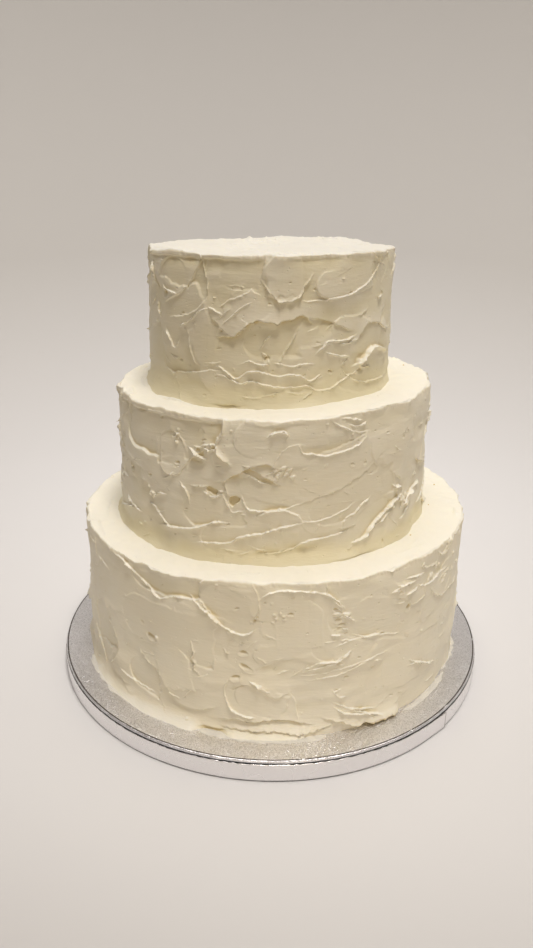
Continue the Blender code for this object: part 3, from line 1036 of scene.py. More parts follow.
lip([(40, 32.5), (43, 28.5), (46.5, 24), (49.5, 20.5), (52, 18)], 0.2, 1.0)
lip([(16.5, 17), (19.5, 12), (23, 9.5), (26.5, 8), (30, 4)], 0.5, 1.2)
lip([(16, 21), (20, 15.5), (24, 12), (28, 9.5)], 0.3, 0.7)
lip([(8, 44), (13, 47.5), (17, 51), (20.5, 55.5)], 0.3, 0.9)
lip([(6, 40.5), (12, 42.5), (18, 44.5), (25, 46), (33, 47)], 0.2, 0.45)
lip([(9, 38), (15, 40), (21, 43), (27, 46.5)], 0.2, 0.45)
lip([(16, 59.5), (20, 62), (25, 61.2), (30, 60.8)], 0.3, 0.4)
# Short torn ridges, most of them high up at the right.
for path in ([(66, 100), (60, 99.5), (57, 96), (54, 94), (51, 97.5)], [(60, 103), (56.6, 98.3), (54.2, 93.9)],
             [(57.8, 81), (54.4, 80), (52.5, 77)], [(50.5, 90.6), (46, 92.3), (42.6, 95.3)],
             [(36.6, 80.4), (38, 76.5)], [(33.9, 89), (36.2, 88.3), (39.9, 88.7)], [(31.8, 86), (34, 86)],
             [(28.7, 101.5), (32.4, 100.2)], [(36.5, 81.5), (40.2, 83.5)], [(33.2, 78), (35.8, 76.6)],
             [(36.7, 91.2), (39, 91.5), (43.2, 90.3)], [(13.2, 99.6), (13.3, 94.4), (11.9, 93.8)],
             [(15.2, 70.2), (16.9, 71.2), (19.2, 68.6)], [(14.8, 67.7), (17, 66.8)],
             [(17.7, 63.2), (20, 62.1)], [(20, 53.7), (17.8, 52), (16.2, 50.4)],
             [(15.6, 29.7), (17.1, 25.5), (18.8, 24.5)], [(-18.2, 98.2), (-16.1, 103.5)]):
    lip(path, 0.35, 0.75, 3.0, over=path[0][0] > 45)
# Longer, softer ones.
for path in ([(66.8, 61.6), (59.7, 64.8), (55.2, 64.4), (50.2, 69), (47.2, 75.6)],
             [(43.4, 80.7), (43.7, 75.4), (40.7, 73), (38.7, 73)],
             [(41, 84.4), (44.9, 81), (50.2, 81.8), (56.4, 82.5)],
             [(13.1, 94.5), (14.4, 92), (15.5, 88), (17.3, 84)], [(15.7, 77.6), (18.1, 78.7), (20.9, 74.1)],
             [(21, 64.9), (24.5, 61.3), (26.9, 61.4), (29.5, 59.6), (34.6, 56)],
             [(39.7, 29.8), (43.6, 28), (51.5, 16.8)], [(20.5, 14.4), (25.1, 9), (29.2, 4.2)],
             [(8, 44.5), (11.3, 49.4), (15.6, 50), (20, 53)],
             [(-35.3, 104.2), (-32.6, 100.2), (-29.8, 100.6), (-27.2, 102), (-23.9, 102), (-21, 101.5)]):
    lip(path, 0.5, 0.6, 4.0)
fold([(-14.1, 103.5), (-7.9, 103), (-4.5, 102)], 0.8, 0.2, 5)
lip([(-18.2, 87.3), (-15.3, 79.3), (-13, 74)], 0.4, 0.6, 5)
lip([(-57.4, 87.9), (-50.9, 84.4)], 0.4, 0.3)
# The flap of icing dragged out over the board at the right of the foot.
fold([(14, 10.5), (18.1, 8.4), (20.7, 4.6), (24, 3), (28, 2.6), (32, 2.2), (36, 1.8)], 1.4, 1.0, 5,
      width=0.6, ragged=0.1)
fold([(25, 3.6), (28.5, 2.9), (32, 2.5), (35.5, 2.3)], 2.4, 0.3, 4.5, ragged=0.1)
pit((37.7, 71.5), 1.9, 1.4, 1.3, 80)
pit((34.5, 84), 1.2, 0.9)
lump((47.5, 85), 1.8, 1.0)
lump((52, 88), 1.3, 0.9)
chance = bottom.wall.chance
for _ in range(12):
    lump((chance.uniform(40, 66), chance.uniform(74, 101)), chance.uniform(0.6, 1.2),
         chance.uniform(0.4, 0.9), 1.8, chance.uniform(20, 70))
# The recess under the rim, and how the foot meets the board.
bottom.set_back(-60, -5, 84, 99, 0.35, soft=8.0)
bottom.settle_foot()
bottom.set_back(-18, -12, -8, 2.0, 1.4, soft=1.5, step=1.0)
bottom.set_back(24, 35, -8, 1.4, 1.5, soft=1.5, step=1.0)
bottom.scrape_rim(-88, -60, 16)
bottom.scrape_rim(76, 150, 16)
bottom.scrape_rim(-175, -130, 10)
bottom.tuck_foot(9, 66, 0.12)
bottom.tuck_foot(66, 96, 0.12)
bottom.tuck_foot(-98, -60, 0.45, 9.0)
bottom.tuck_foot(-19, -11, 0.4, 2.0)
bottom.flare_foot(28, 36, 0.5)
bottom.deepen(0.1)
bottom.air_holes(250)
bottom.spread("bottom_tier", icing_coat)


# ---- The smears on the board -------------------------------------------------------
# Thin films of buttercream wiped onto the foil beyond the foot of the bottom tier.
# They are placed in degrees round from the front and millimetres out from the wall.

SMEAR_REACH = 19.0           # mm out from the wall
SMEAR_STEP = 0.7             # mm between the rings of the sheet
SMEAR_HIDDEN = 0.15          # mm below the foil where there is no smear
SMEAR_LIMIT = BOARD_RADIUS - 0.004
SMEARS_BEHIND, SMEARS_FROM, SMEAR_PACE = 23, 86.0, 7.4    # how many, and their turns in degrees
SMEAR_TONES = (0.66, 0.645, 0.60), (0.90, 0.865, 0.740)
smears = Icing(bottom.wall.width, 0.0, SMEAR_REACH, 9)


def wipe(points, width, thick, ragged=0.7):
    """A film of icing left on the board along a path."""
    window, along, across, length = smears.round_path(points, width + 3.0)
    on = np.clip(along, 0.0, length)
    half = width / 2 + ragged * (wander(on, 3.0, smears.chance) + 0.5 * wander(on, 1.2, smears.chance))
    half = half * np.sqrt(np.clip(fade(-1.0, 8.0, along) * fade(-1.0, 8.0, length - along), 0.0, 1.0))
    edge = fade(0.0, 0.8, half - np.abs(across))
    film = edge * thick * (0.75 + 0.25 * wander(on, 4.0, smears.chance)) - SMEAR_HIDDEN
    smears.height[window] = np.maximum(smears.height[window], film)


def wiped_buttercream():
    """Buttercream wiped so thin that the foil shows through it greyly at its edges."""
    tree, finish = new_material("wiped_buttercream")
    film = tree.node("ShaderNodeAttribute", {"attribute_name": "film"}).outputs["Fac"]
    streaks = tree.noise(tree.place(), 700.0)
    uneven = tree.plus(film, tree.times(streaks, 0.3))
    return finish(streaks, 0.5, 0.0003, Base_Color=tree.mix(tree.band(uneven, 0.1, 0.65), *SMEAR_TONES),
                  Roughness=tree.band(uneven, 0.1, 0.65, 0.35, 0.55))


def spread_smears():
    """Makes the films one closed sheet that lies inside the board where it is bare."""
    turns = np.radians(smears.degrees[::2])
    wall_radius = bottom.round_about(bottom.radii[FIRST_WALL_RING], turns)
    rings = []
    for v in np.arange(0.0, SMEAR_REACH, SMEAR_STEP):
        radius = wall_radius + MM * v
        level = BOARD_TOP + MM * smears.sampled(smears.height, smears.u[::2], v)
        x, y = bottom.centre.x + radius * np.sin(turns), bottom.centre.y - radius * np.cos(turns)
        pulled_in = np.minimum(1.0, SMEAR_LIMIT / np.hypot(x, y))
        rings.append(np.stack([x * pulled_in, y * pulled_in, level], 1))
    for ring in (rings[-1], rings[0]):
        rings.append(ring.copy())
        rings[-1][:, 2] = BOARD_TOP - MM
    rings.reverse()
    mesh = ring_mesh("board_smears", rings)
    note_on_points(mesh, "film", (np.vstack(rings)[:, 2] - BOARD_TOP) / MM)
    mesh.materials.append(wiped_buttercream())
    piece = put_in_scene("board_smears", mesh)
    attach(piece, "root")


smears.height -= SMEAR_HIDDEN
wipe([(-66, 3.4), (-45, 4.0), (-30, 3.8), (-18, 3)], 6.5, 0.3)
wipe([(-19, 3), (-8, 4), (4, 4.5), (14, 3)], 6.5, 0.4)
wipe([(37, 3), (44, 3.5), (52, 3), (60, 2)], 5.0, 0.3)
wipe([(43, 9), (47, 8.6), (51, 8.0)], 1.4, 0.35, 0.2)
wipe([(60, 0.5), (70, 1.0), (80, 0.5)], 4.0, 0.35)
chance = smears.chance
for number in range(SMEARS_BEHIND):
    start = SMEARS_FROM + SMEAR_PACE * number + chance.uniform(-2.5, 2.5)
    reach = chance.uniform(2.0, 4.0)
    sweep = chance.uniform(9.0, 16.0)
    wipe([(start, reach - 1.0), (start + sweep / 2, reach), (start + sweep, reach - 1.0)],
         chance.uniform(4.5, 7.0), chance.uniform(0.25, 0.5))
spread_smears()


# ---- The middle tier ---------------------------------------------------------------
# The second cake, set on the first a little off its centre and iced in the same way.
# Its wall is taller at the right, and its icing stands out over the recess under the rim.

middle = Tier("tier_middle", "tier_top", seed=3, sheer=0.15)
middle.work_over(64, 105)
middle.level_off(14)
middle.fray_rim(0.35)
stroke, lip, fold, pit, lump = middle.wall.marks()
# The broad flats.
stroke([(-60, 70), (-22, 74)], 26, -0.5, 0.9)
stroke([(-35, 76), (-35, 54)], 22, 0, 0.1, grain=0.02, burrs=(0.4, 0.3))
stroke([(-12, 76), (18, 80)], 20, 0.3, 0.2, 0.3)
stroke([(8, 48), (34, 64)], 26, 0.1, 0.3)
stroke([(-10, 50), (8, 42)], 16, 0.2, -0.2, 0.3)
stroke([(12, 30), (44, 44)], 22, -0.1, 0.3, 0.3)
stroke([(-30, 30), (-8, 34)], 20, -0.3, 0.3, 0.25)
# The step down the front under the rim, and the loop to its left.
fold([(-15.5, 90), (-15.2, 83), (-16.5, 78), (-17.5, 73.5), (-16.5, 69), (-14.5, 65.5), (-13, 62)], 0.9,
      1.2, 10, width=0.7)
lip([(-22, 71.5), (-19.5, 72), (-17.5, 72.5)], 0.3, 1.0)
lip([(-27, 68), (-24.5, 65.5), (-22, 63.5)], 0.4, 1.1, 3)
lip([(-25.5, 69.5), (-23.5, 69.5), (-22, 71)], 0.4, 0.8, 3)
pit((-24, 67.3), 1.4, 1.0)
fold([(-39.8, 70), (-39.5, 57), (-38.5, 52), (-35.5, 49.5), (-32, 50.5), (-30, 55), (-26.5, 62), (-22, 68),
      (-18, 72)], 0.5, 0.25, 5)
for height in (77.5, 75, 72.5, 70):
    lump((-32.3 + 0.3 * (height % 2), height), 0.9, 0.5)
pit((-31.8, 57.5), 1.4, 0.8)
pit((-34, 73), 0.9, 0.5)
lip([(-30.5, 46), (-28.5, 43), (-27.3, 38.5), (-27, 35)], 0.3, 0.8)
# Two torn recesses, with their raised edges.
stroke([(-21.0, 45.6), (-17.2, 42.6)], 3.6, -1.2, 0, 0.1, edge=0.6, grain=0.0)
lip([(-21.5, 42.8), (-18.5, 40.5), (-15.8, 42.5)], 0.3, 0.8, 2)
stroke([(-13.2, 41.2), (-10.4, 37.4)], 7.5, -1.3, 0, 0.1, edge=0.7, grain=0.0)
lip([(-15, 41), (-13.5, 36), (-12, 32.3), (-9.5, 33.5)], 0.3, 0.9, 3)
lip([(-9, 41), (-8, 36.5), (-6.5, 34.3), (-3, 34), (0, 34.2)], 0.3, 0.8, 4)
# The overlap across the middle, with crumbly icing at its end.
fold([(-15, 51.5), (-11.5, 55.5), (-8, 59.5), (-4.5, 62.3), (-1.5, 62.5), (1.5, 60)], 1.1, 0.3, 7)
fold([(-15, 50.5), (-14.5, 46), (-13.5, 42)], 0.5, 0.4)
fold([(-7, 60), (-3, 56), (0, 52.5), (2.2, 50)], 0.9, 0.3, 3)
lip([(-9, 57.5), (-6, 54.5), (-3, 51.5), (0, 49.8)], 0.4, 0.7)
for place in ((1, 59), (3, 57.5), (2, 55.5), (4.5, 56), (1.5, 53.5), (5.5, 58.5), (3.5, 60), (6.5, 54)):
    lump(place, 1.1, 0.7, 1.6, 30)
lip([(-1.5, 78.5), (0.5, 80.5), (3, 81), (4.8, 79), (4.5, 77)], 0.3, 0.8, 3)
lip([(8.5, 71.5), (10, 67.5), (13, 67), (15, 65.5), (19, 66), (23, 67), (27, 69), (30, 72), (31.5, 75)],
     0.6, 0.6, 6)
lip([(0, 60), (2, 66.5), (4, 71), (7, 73.5), (9.5, 72.8)], 0.3, 0.25)
lip([(19, 84), (23, 80), (27, 77), (31, 76)], 0.3, 0.8)
lip([(22, 86), (26, 84), (29, 83)], 0.3, 0.7)
lip([(25, 81), (29, 80), (31, 81)], 0.3, 0.7)
lip([(-4, 31.5), (-1, 33.8), (3, 34.5), (6, 36), (9, 38)], 0.5, 0.2, 8)
fold([(8, 37.5), (12.5, 39.5), (16, 41), (20, 43.5), (24, 46.5), (29, 50.5), (34, 55), (38, 61)], 0.35, 0.1,
      8, ragged=0.6)
lip([(-3, 32), (0, 34.5), (3.5, 35), (7, 32.5), (9.5, 29), (10, 26.5)], 0.8, 0.2, 6)
# The long low waves that run up to the right.
lip([(-25, 11), (-22, 11.2), (-18, 12), (-14.5, 12.5), (-12, 14), (-10, 17), (-7, 18.8), (-3, 19.8),
     (0, 22), (3.5, 24.2), (7, 25), (10, 26.3)], 0.7, 0.9, 6)
lip([(9.5, 27), (13, 26), (18, 27.5), (24, 31), (28, 35)], 0.4, 0.3)
lip([(-40, 15), (-36.5, 16), (-33, 16.3), (-29, 18), (-25, 20), (-21.5, 22.5), (-18, 25.3), (-14, 25.5)],
     0.8, 0.9, 7)
lip([(-36.5, 16.5), (-38.5, 19), (-40.5, 22.5), (-42.5, 25), (-45, 25.5)], 0.3, 1.0)
fold([(-50.5, 39.5), (-47.5, 39.3), (-45.8, 37), (-44.5, 33.5), (-43.5, 31)], 0.5, 1.3, 4)
lip([(-43.5, 31), (-41.5, 33.5), (-39.5, 35.5), (-37, 36)], 0.3, 1.0)
lump((-43.8, 33), 1.8, 0.8)
lip([(-3, 7), (1, 7.2), (5, 8.5), (8.5, 10)], 0.3, 0.7)
lip([(7, 8.8), (9.5, 12), (13, 14.5), (17, 15.3), (21, 16.5), (25, 18.3)], 0.5, 0.9)
lip([(23.2, 20.9), (24.6, 25.8), (27.7, 28), (30.8, 32), (33.8, 34.8)], 0.4, 0.8)
# The sharp streaks torn upwards at the right.
lip([(28, 9.5), (31.5, 10.8), (34.5, 15.6), (38, 20), (41.5, 23.7), (45.6, 28.9), (49.9, 31.4)], 0.9, 1.3,
     8, width=0.5)
lip([(35.8, 16.3), (39.2, 17.8), (42, 21.5), (45.5, 26)], 0.2, 1.1, 3)
lip([(44.7, 36.3), (47, 37.1), (49.1, 33.2), (48.1, 29.7)], 0.3, 1.0, 3)
lip([(48.4, 13.4), (50.9, 16.8), (53.6, 20)], 0.3, 0.9, 3)
lip([(47, 30), (46, 34), (44, 38)], 0.3, 0.9)
for place in ((46, 36), (48, 28), (50, 26.5), (52, 28), (50, 24.5), (54, 25), (53, 22)):
    lump(place, 1.3, 0.9, 1.5, 40)
lip([(48.5, 21.8), (52.4, 25.7), (57.1, 28.5), (63.9, 29.6)], 0.8, 1.3, width=0.5)
lip([(-72, 8.5), (-65, 12), (-60, 15.5), (-55, 17.2)], 0.5, 1.0)
lip([(-62, 21), (-57, 19), (-51, 17)], 0.4, 0.9)
pit((-58, 41.5), 2.0, 1.1)
pit((-45, 44), 1.4, 0.7)
fold([(44.5, 44.5), (48, 41)], 0.5, 0.3)
pit((40, 3), 1.0, 1.0, 2.5, 90)
pit((26, 58), 1.2, 0.5)
pit((31, 57), 1.3, 0.5)
pit((50, 70), 1.2, 0.6)
pit((48, 66.5), 1.0, 0.5)
fold([(60, 47), (64, 44), (70, 40)], 0.9, 0.4)
for path in ([(-32.1, 75.1), (-32.9, 72.7), (-32.2, 70)], [(-21.5, 69.2), (-17, 69.3)],
             [(-25.9, 66.3), (-23.2, 63.7), (-21.1, 63.1)], [(-59, 44.9), (-57, 39.5)],
             [(-0.5, 80), (1.4, 81.7), (3.7, 81), (4.6, 78.8)], [(-70, 34.7), (-62.4, 32.9)]):
    lip(path, 0.35, 0.75, 3.0)
# The recess under the rim, the foot, and the ragged rim.
middle.set_back(-65, -17, 69, middle.tall - 2.5, 0.8, soft=3.0)
middle.set_back(-4, 10, 78, middle.tall - 2.5, 0.5, soft=2.0)
middle.settle_foot()
middle.set_back(20, 35, -8, 1.4, 0.7, soft=5.0, step=1.0)
middle.rim_mark(-16, 1.0, out=0.8, up=0.3)
for turn, out in ((91, 0.9), (96, -0.4), (100, 1.0), (107, 0.8), (112, -0.4), (116, 1.0), (123, 0.7)):
    middle.rim_mark(turn, 1.8, out=out, up=0.4)
middle.scrape_rim(-88, -55, 18)
middle.scrape_rim(95, 140, 14)
middle.scrape_rim(165, 200, 10)
middle.deepen(0.3)
middle.air_holes(180)
middle.spread("middle_tier", icing_coat)


# ---- The top tier ------------------------------------------------------------------
# The smallest cake, set to the left of the stack's middle and levelled off flat on top.
# Its walls take the most painted shade, darker and yellower.

top = Tier("tier_top", None, seed=5, sheer=0.48)
top.work_over(46, 80)
top.level_off(16)
top.fray_rim(0.32)
stroke, lip, fold, pit, lump = top.wall.marks()
# The broad flats.
stroke([(-44, 80), (-46, 66)], 30, -0.5, 0.5, grain=0.02)
stroke([(7, 86), (7.5, 62)], 24, 0.5, -0.3, 0.15, dish=-0.3, grain=0.02)
stroke([(-10, 36), (14, 38)], 22, -0.5, 0.4, grain=0.02, edge=3.5)
stroke([(20, 66), (50, 72)], 16, 0.2, -0.3)
stroke([(-20, 72), (-4, 74)], 18, -0.1, 0.5, 0.3)
stroke([(-28, 22), (-26, 48)], 18, 0.2, -0.2)
stroke([(28, 44), (60, 30)], 22, 0.3, 0.3, 0.3)
# The crossing ridges at the left.
fold([(-30, 84), (-27.5, 76), (-26, 69), (-25.7, 63)], 0.3, 1.0, 5)
lip([(-29.5, 80), (-33, 72), (-36.5, 66), (-41, 61), (-46, 58), (-50, 55.5)], 0.6, 0.15, 9, width=0.5)
fold([(-26, 61), (-28, 57), (-33, 52), (-38, 49.5), (-47, 47)], 0.5, 0.15, 4, width=0.5)
lip([(-52, 64.5), (-50, 62.5), (-47, 61.5), (-44, 60.5)], 0.6, 1.3, 3)
pit((-50, 59.5), 1.8, 1.2)
lip([(-62, 75), (-60.5, 70), (-60, 66), (-57.5, 62.5)], 0.5, 1.1, 4)
lip([(-58, 54), (-57, 49), (-55, 45.5)], 0.4, 0.8)
lip([(-40, 43), (-36, 45.5), (-32.5, 49), (-29, 53), (-25.5, 54.5)], 0.7, 0.9, 6)
lip([(-24.5, 55), (-22.5, 54), (-19.5, 52.3)], 0.4, 1.0, 3)
fold([(-38, 43.5), (-36, 41.5), (-35, 37), (-34.5, 31), (-33, 25), (-31.5, 22.5)], 0.4, 0.8, 5)
lip([(-50.5, 39.5), (-47.5, 35), (-45, 30), (-43, 31), (-41, 35)], 0.4, 0.8, 3)
# The low wavy lines round the foot.
lip([(-54, 20), (-52, 17), (-49, 15.2), (-45, 15), (-41, 16), (-37, 16.5), (-33, 17.5), (-28, 18.5),
     (-24, 20), (-20, 20.5)], 0.7, 0.35, 9)
lip([(-21, 22.5), (-19, 22), (-16.5, 19), (-13, 16.5), (-10.5, 17.5), (-8, 20), (-5, 21), (-2, 20.5),
     (1, 18.8), (5, 18), (9, 18.6), (13, 18), (16, 15.8), (18, 14.2)], 0.7, 1.0, 5)
lip([(18, 14), (20.5, 15), (23, 17)], 0.3, 0.8)
lip([(-20, 18), (-16, 16.5), (-12.5, 14), (-9.5, 13.5), (-6.5, 15.3), (-2, 13.8), (3, 12), (8, 11.3),
     (14, 11.3), (18.5, 11.3), (20.5, 9), (24, 8), (28, 8.5), (31, 10.5), (34, 12.5), (38, 15), (42, 16)],
     0.5, 0.8, 6)
lip([(-9, 6), (-5, 5), (-2.5, 6), (1, 7), (5, 8.5)], 0.2, 0.6)
# The big overlap across the front.
fold([(-20, 39.5), (-15, 40.5), (-11.5, 43), (-8.5, 47), (-5, 49.5), (-1, 48.8), (4, 48.6), (9, 49.8),
      (13, 51.5), (16, 50.5), (19, 47)], 1.5, 0.5, 9)
fold([(18, 49.5), (22, 49), (27, 47.5), (31, 45), (34.5, 42.5), (38, 41)], 0.7, 0.2, 7)
fold([(-24, 51), (-21, 47), (-18, 43), (-16, 41.5)], 0.6, 0.2, 5)
fold([(-2, 70), (-0.5, 67.5), (1, 64.5), (3.5, 61.3), (7, 59.8), (11, 60.5), (13.8, 63.5), (15.5, 67.5),
      (17.8, 72)], 0.4, 1.1, 5)
fold([(-1.2, 82), (-1.4, 78), (-2.5, 73)], 0.7, 0.2, 8)
lip([(14.5, 59.5), (18, 58.8), (22, 59.3), (27, 59.8), (33, 60.5), (39, 63), (45, 66.5), (50, 70.5),
     (54, 75), (57, 79)], 0.5, 0.5, 5)
lip([(50, 84), (53, 80.5), (57, 77.5), (61, 76)], 0.4, 0.8)
lip([(-19, 56.5), (-16.5, 59), (-12, 61.5), (-8.5, 64), (-6.5, 66)], 0.4, 0.5)
lip([(-6.5, 66), (-5.2, 64), (-3.2, 63.3)], 0.3, 0.8)
fold([(14.7, 48), (12.5, 43), (10, 37.5), (7.5, 31.5), (5, 26)], 0.2, 0.7)
lip([(4, 25.5), (7, 24.3), (11, 23.2), (15, 24), (19.5, 23.8)], 0.4, 0.6)
lip([(-10, 25.5), (-7, 26.5), (-4, 24.5), (0, 24.5)], 0.3, 0.8)
lip([(-2.5, 34), (-1, 37.5), (0.8, 40.5)], 0.3, 0.7)
pit((0, 27), 1.6, 1.2, 1.6, 70)
lip([(-1.5, 31), (0.2, 29), (1, 25)], 0.3, 0.8)
# The heaped and torn icing at the right.
lip([(21.5, 29.5), (24, 33.5), (26.5, 36), (31, 35.5), (36, 36.2), (40, 38)], 0.5, 0.9)
lip([(32, 34), (36, 34.3), (40.5, 35.3)], 0.3, 0.8)
fold([(41, 34.5), (43.5, 39), (46.5, 43.5), (50.5, 44.5), (54, 44), (58, 42), (63, 39), (68, 37)], 1.1, 0.3,
      6)
lip([(26, 29.8), (30.5, 27.5), (36, 26.3)], 0.6, 1.3, 4)
lip([(40, 20), (43.5, 21), (46.5, 24), (49.5, 27.5), (53, 28.5), (58, 27.5), (64, 24.5), (71, 21)], 1.0,
     1.5, 8, width=0.8)
lump((44, 21.5), 2.2, 1.3)
lip([(34, 18.5), (38, 13.5), (42, 10.5), (48, 8.5), (55, 7.8), (62, 7.3), (69, 7)], 0.7, 0.6)
pit((28, 18), 1.3, 0.9)
pit((44, 16), 2.0, 0.8)
lip([(55, 60), (56, 57.5), (59, 57.5), (60.5, 60), (58.5, 62.5)], 0.1, 0.9)
pit((1, 58), 0.9, 0.6)
pit((-41, 23), 1.0, 0.7)
# The recess under the rim, the foot, and the rim itself.
top.set_back(-68, -31, 74, top.tall - 2.3, 1.0, soft=3.0)
top.set_back(-30, -3, 72, top.tall - 2.0, 0.9, soft=3.0)
top.set_back(8, 30, 76, top.tall - 2.3, 0.6, soft=3.0)
top.settle_foot()
top.set_back(-22, -11, -8, 1.4, 1.1, soft=5.0, step=1.2)
top.scrape_rim(-96, -80, 6)
top.scrape_rim(78, 92, 4)
top.scrape_rim(120, 230, 14)
top.rim_mark(-168.0, 1.3, up=1.5)
top.rim_mark(138, 6.0, up=1.2)
top.rim_mark(178, 45.0, up=0.8)
top.rim_mark(-66, 12.0, up=-1.8)
top.deepen(0.18)
top.air_holes(130)
top.spread("top_tier", icing_coat)


# ---- The crumbs --------------------------------------------------------------------
# A few specks of yellow sponge, dropped on the ledges when the tiers were stacked. The
# cut cakes shed them, and the soft icing holds them where they fall.

CRUMB_SIZE = 0.00042
CRUMBS_PLACED = ((78.4, 0.1093, 1.1), (52.6, 0.1098, 1.2), (41.0, 0.1055, 2.2), (40.0, 0.1070, 1.3))
CRUMBS_BEHIND = 11
SPONGE_TONES = (0.62, 0.42, 0.13), (0.86, 0.72, 0.34)


def crumb_dropping():
    """Sets a small ragged crumb on every point, turned and sized at random."""
    tree, given, made = shape_group("Crumb dropping", Crumb_Size="Float", Raggedness="Float", Seed="Int")
    ball = tree.add("GeometryNodeMeshIcoSphere", Radius=1.0, Subdivisions=3)
    place = tree.add("GeometryNodeInputPosition")
    push = tree.times(tree.minus(tree.noise(place, 1.3), 0.5), given["Raggedness"])
    rough = tree.add("GeometryNodeSetPosition", Geometry=ball, Offset=tree.scaled(place, push))
    turned = tree.add("FunctionNodeRandomValue", {"data_type": "FLOAT_VECTOR"},
                      Max=(math.tau, math.tau, math.tau), Seed=given["Seed"])
    sized = tree.add("GeometryNodeInputNamedAttribute", {"data_type": "FLOAT"}, Name="size")
    drop = tree.add("GeometryNodeInstanceOnPoints", Points=given["Geometry"], Instance=rough,
                    Rotation=turned, Scale=tree.times(sized, given["Crumb Size"]))
    real = tree.add("GeometryNodeRealizeInstances", Geometry=drop)
    return covered(tree, given, made, tree.add("GeometryNodeSetShadeSmooth", Geometry=real))


def sponge():
    """Yellow sponge cake, browner where it is baked harder."""
    tree, finish = new_material("sponge_crumb")
    tone, baked = mottled(tree, tree.place(), 900.0, 2.0, 0.35, 0.65, SPONGE_TONES)
    return finish(baked, 0.6, 0.0002, Base_Color=tone, Roughness=tree.band(baked, 0.35, 0.65, 0.75, 0.9))


def scatter_crumbs():
    """The points the crumbs lie on, with a size for each, as a loose mesh."""
    chance = np.random.default_rng(12)
    spots = [(bottom.ledge_at(turn, radius), size) for turn, radius, size in CRUMBS_PLACED]
    for _ in range(CRUMBS_BEHIND):
        turn, size = chance.uniform(95.0, 265.0), chance.uniform(0.7, 1.4)
        tier = bottom if chance.random() < 0.6 else middle
        reach = chance.uniform(tier.inner_radius + 0.010, tier.rim_radius - 0.006)
        spots.append((tier.ledge_at(turn, reach), size))
    points = bpy.data.meshes.new("crumb_places")
    points.from_pydata([place for place, size in spots], [], [])
    note_on_points(points, "size", [size for place, size in spots])
    return put_in_scene("crumb_places", points)


crumbs = grow("crumbs", scatter_crumbs(), crumb_dropping(), crumb_size=CRUMB_SIZE, raggedness=1.1,
              seed=4, material=sponge())
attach(crumbs, "root")


# ---- The table and lights ----------------------------------------------------------
# Paper curving up all round the cake, with painted light on it near the cake and painted shade
# further out, soft lamps overhead, and the camera. A small warm glow low in front stands for light thrown
# back up from the table.

STAGE_FLAT = 0.50
STAGE_CURVE = 0.9
STAGE_HEIGHT = 2.3
PAPER_SEGMENTS = 96
PAPER_LIGHT_FALLOFF_TONES = (0.855, 0.860, 0.882), (0.522, 0.510, 0.490)    # painted light by the cake, and painted shade far from it
# painted shade far out on the paper, standing for the dim room
ROOM_SHADE_TONE = (0.165, 0.143, 0.120)
ROOM_LIGHT = (1.0, 0.89, 0.76, 1.0)
ROOM_STRENGTH = 0.06
LAMP_AIM = (0.0, 0.0, 0.15)
CAMERA_LENS, CAMERA_SENSOR = 27.34, 36.0
CAMERA_PLACE = (0.0007, -0.4773, 0.3173)
CAMERA_TILT = math.radians(68.85)
CAMERA_TURN = 0.0110
CAMERA_ROLL = 0.0135


def stage_paper():
    """Paper with painted light: pale under and behind the cake, fading to painted shade for the dim room
    round the table.
    """
    tree, finish = new_material("stage_paper")
    place = tree.place()
    pool_reach = tree.length(tree.vector("SUBTRACT", place, (0.0, 0.25, 0.0)))
    away = tree.length(tree.vector("SUBTRACT", place, (0.1, 1.0, 0.3)))
    # Painted light near the cake, painted shade further out.
    tone = tree.mix(tree.band(pool_reach, 0.0, 0.87, kind="LINEAR"), *PAPER_LIGHT_FALLOFF_TONES)
    tone = tree.mix(tree.band(away, 1.2, 1.6), tone, ROOM_SHADE_TONE)
    return finish(Base_Color=tone, Roughness=0.7)


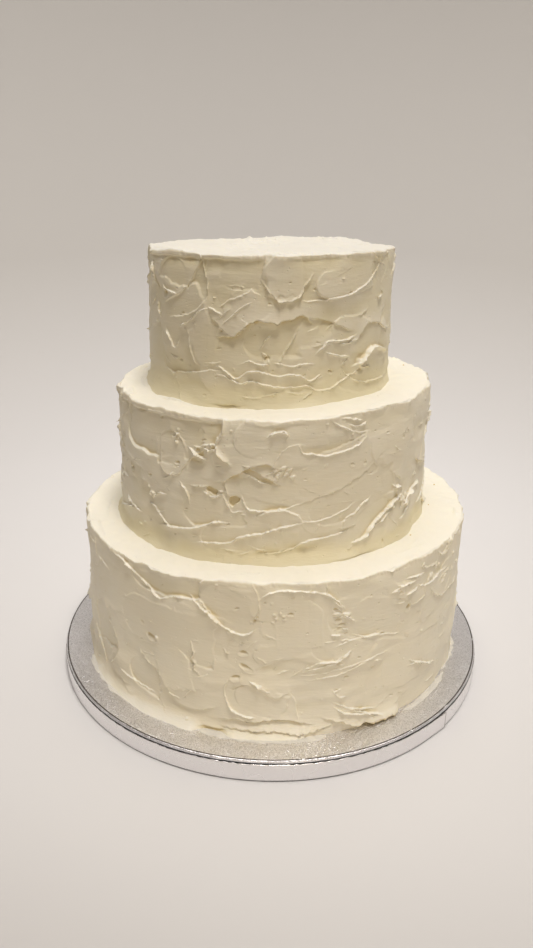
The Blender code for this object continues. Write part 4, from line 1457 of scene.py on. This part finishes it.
paper_profile = [(0.25, 0.0), (STAGE_FLAT, 0.0)]
paper_profile += quarter_turn((STAGE_FLAT, STAGE_CURVE), STAGE_CURVE, -88.0, 0.0, 28)
paper_profile += [(STAGE_FLAT + STAGE_CURVE, STAGE_HEIGHT)]
paper_turns = np.arange(PAPER_SEGMENTS) * math.tau / PAPER_SEGMENTS
paper_rings = [np.stack([radius * np.cos(paper_turns), radius * np.sin(paper_turns),
                         np.full(PAPER_SEGMENTS, level)], 1) for radius, level in reversed(paper_profile)]
paper = put_in_scene("stage_paper", ring_mesh("stage_paper", paper_rings, last=(0.0, 0.0, 0.0)))
paper.data.materials.append(stage_paper())
paper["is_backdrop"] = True


def hang_lamp(name, place, aim, size, power, colour):
    """A round soft lamp, turned towards a point and not seen itself."""
    light = bpy.data.lights.new(name, "AREA")
    light.shape = "DISK"
    light.size = size
    light.energy = power
    light.color = colour
    lamp = put_in_scene(name, light)
    lamp.location = place
    lamp.rotation_euler = (Vector(aim) - lamp.location).to_track_quat("-Z", "Y").to_euler()
    lamp.visible_camera = False


hang_lamp("main_lamp", (0.45, -0.95, 3.50), LAMP_AIM, 0.90, 66.5, (1.0, 0.940, 0.885))
hang_lamp("wide_lamp", (0.05, 0.25, 3.50), LAMP_AIM, 2.20, 44.5, (1.0, 0.950, 0.905))
hang_lamp("low_card", (0.08, -0.64, 0.03), (0.0, -0.1, 0.035), 0.26, 0.74, (1.0, 0.860, 0.680))

world = bpy.data.worlds.new("room")
bpy.context.scene.world = world
world.use_nodes = True
room = world.node_tree.nodes["Background"]
room.inputs["Color"].default_value = ROOM_LIGHT
room.inputs["Strength"].default_value = ROOM_STRENGTH

camera = put_in_scene("camera", bpy.data.cameras.new("camera"))
camera.data.lens = CAMERA_LENS
camera.data.sensor_width = CAMERA_SENSOR
camera.data.clip_start = 0.01
pose = Matrix.Translation(CAMERA_PLACE) @ Matrix.Rotation(CAMERA_TURN, 4, "Z")
camera.matrix_world = pose @ Matrix.Rotation(CAMERA_TILT, 4, "X") @ Matrix.Rotation(CAMERA_ROLL, 4, "Z")
bpy.context.scene.camera = camera
bpy.context.scene.view_settings.view_transform = "Standard"

boxes = {"cad": cad_box, "visual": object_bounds()}
{name: [list(corner) for corner in box] for name, box in boxes.items()}
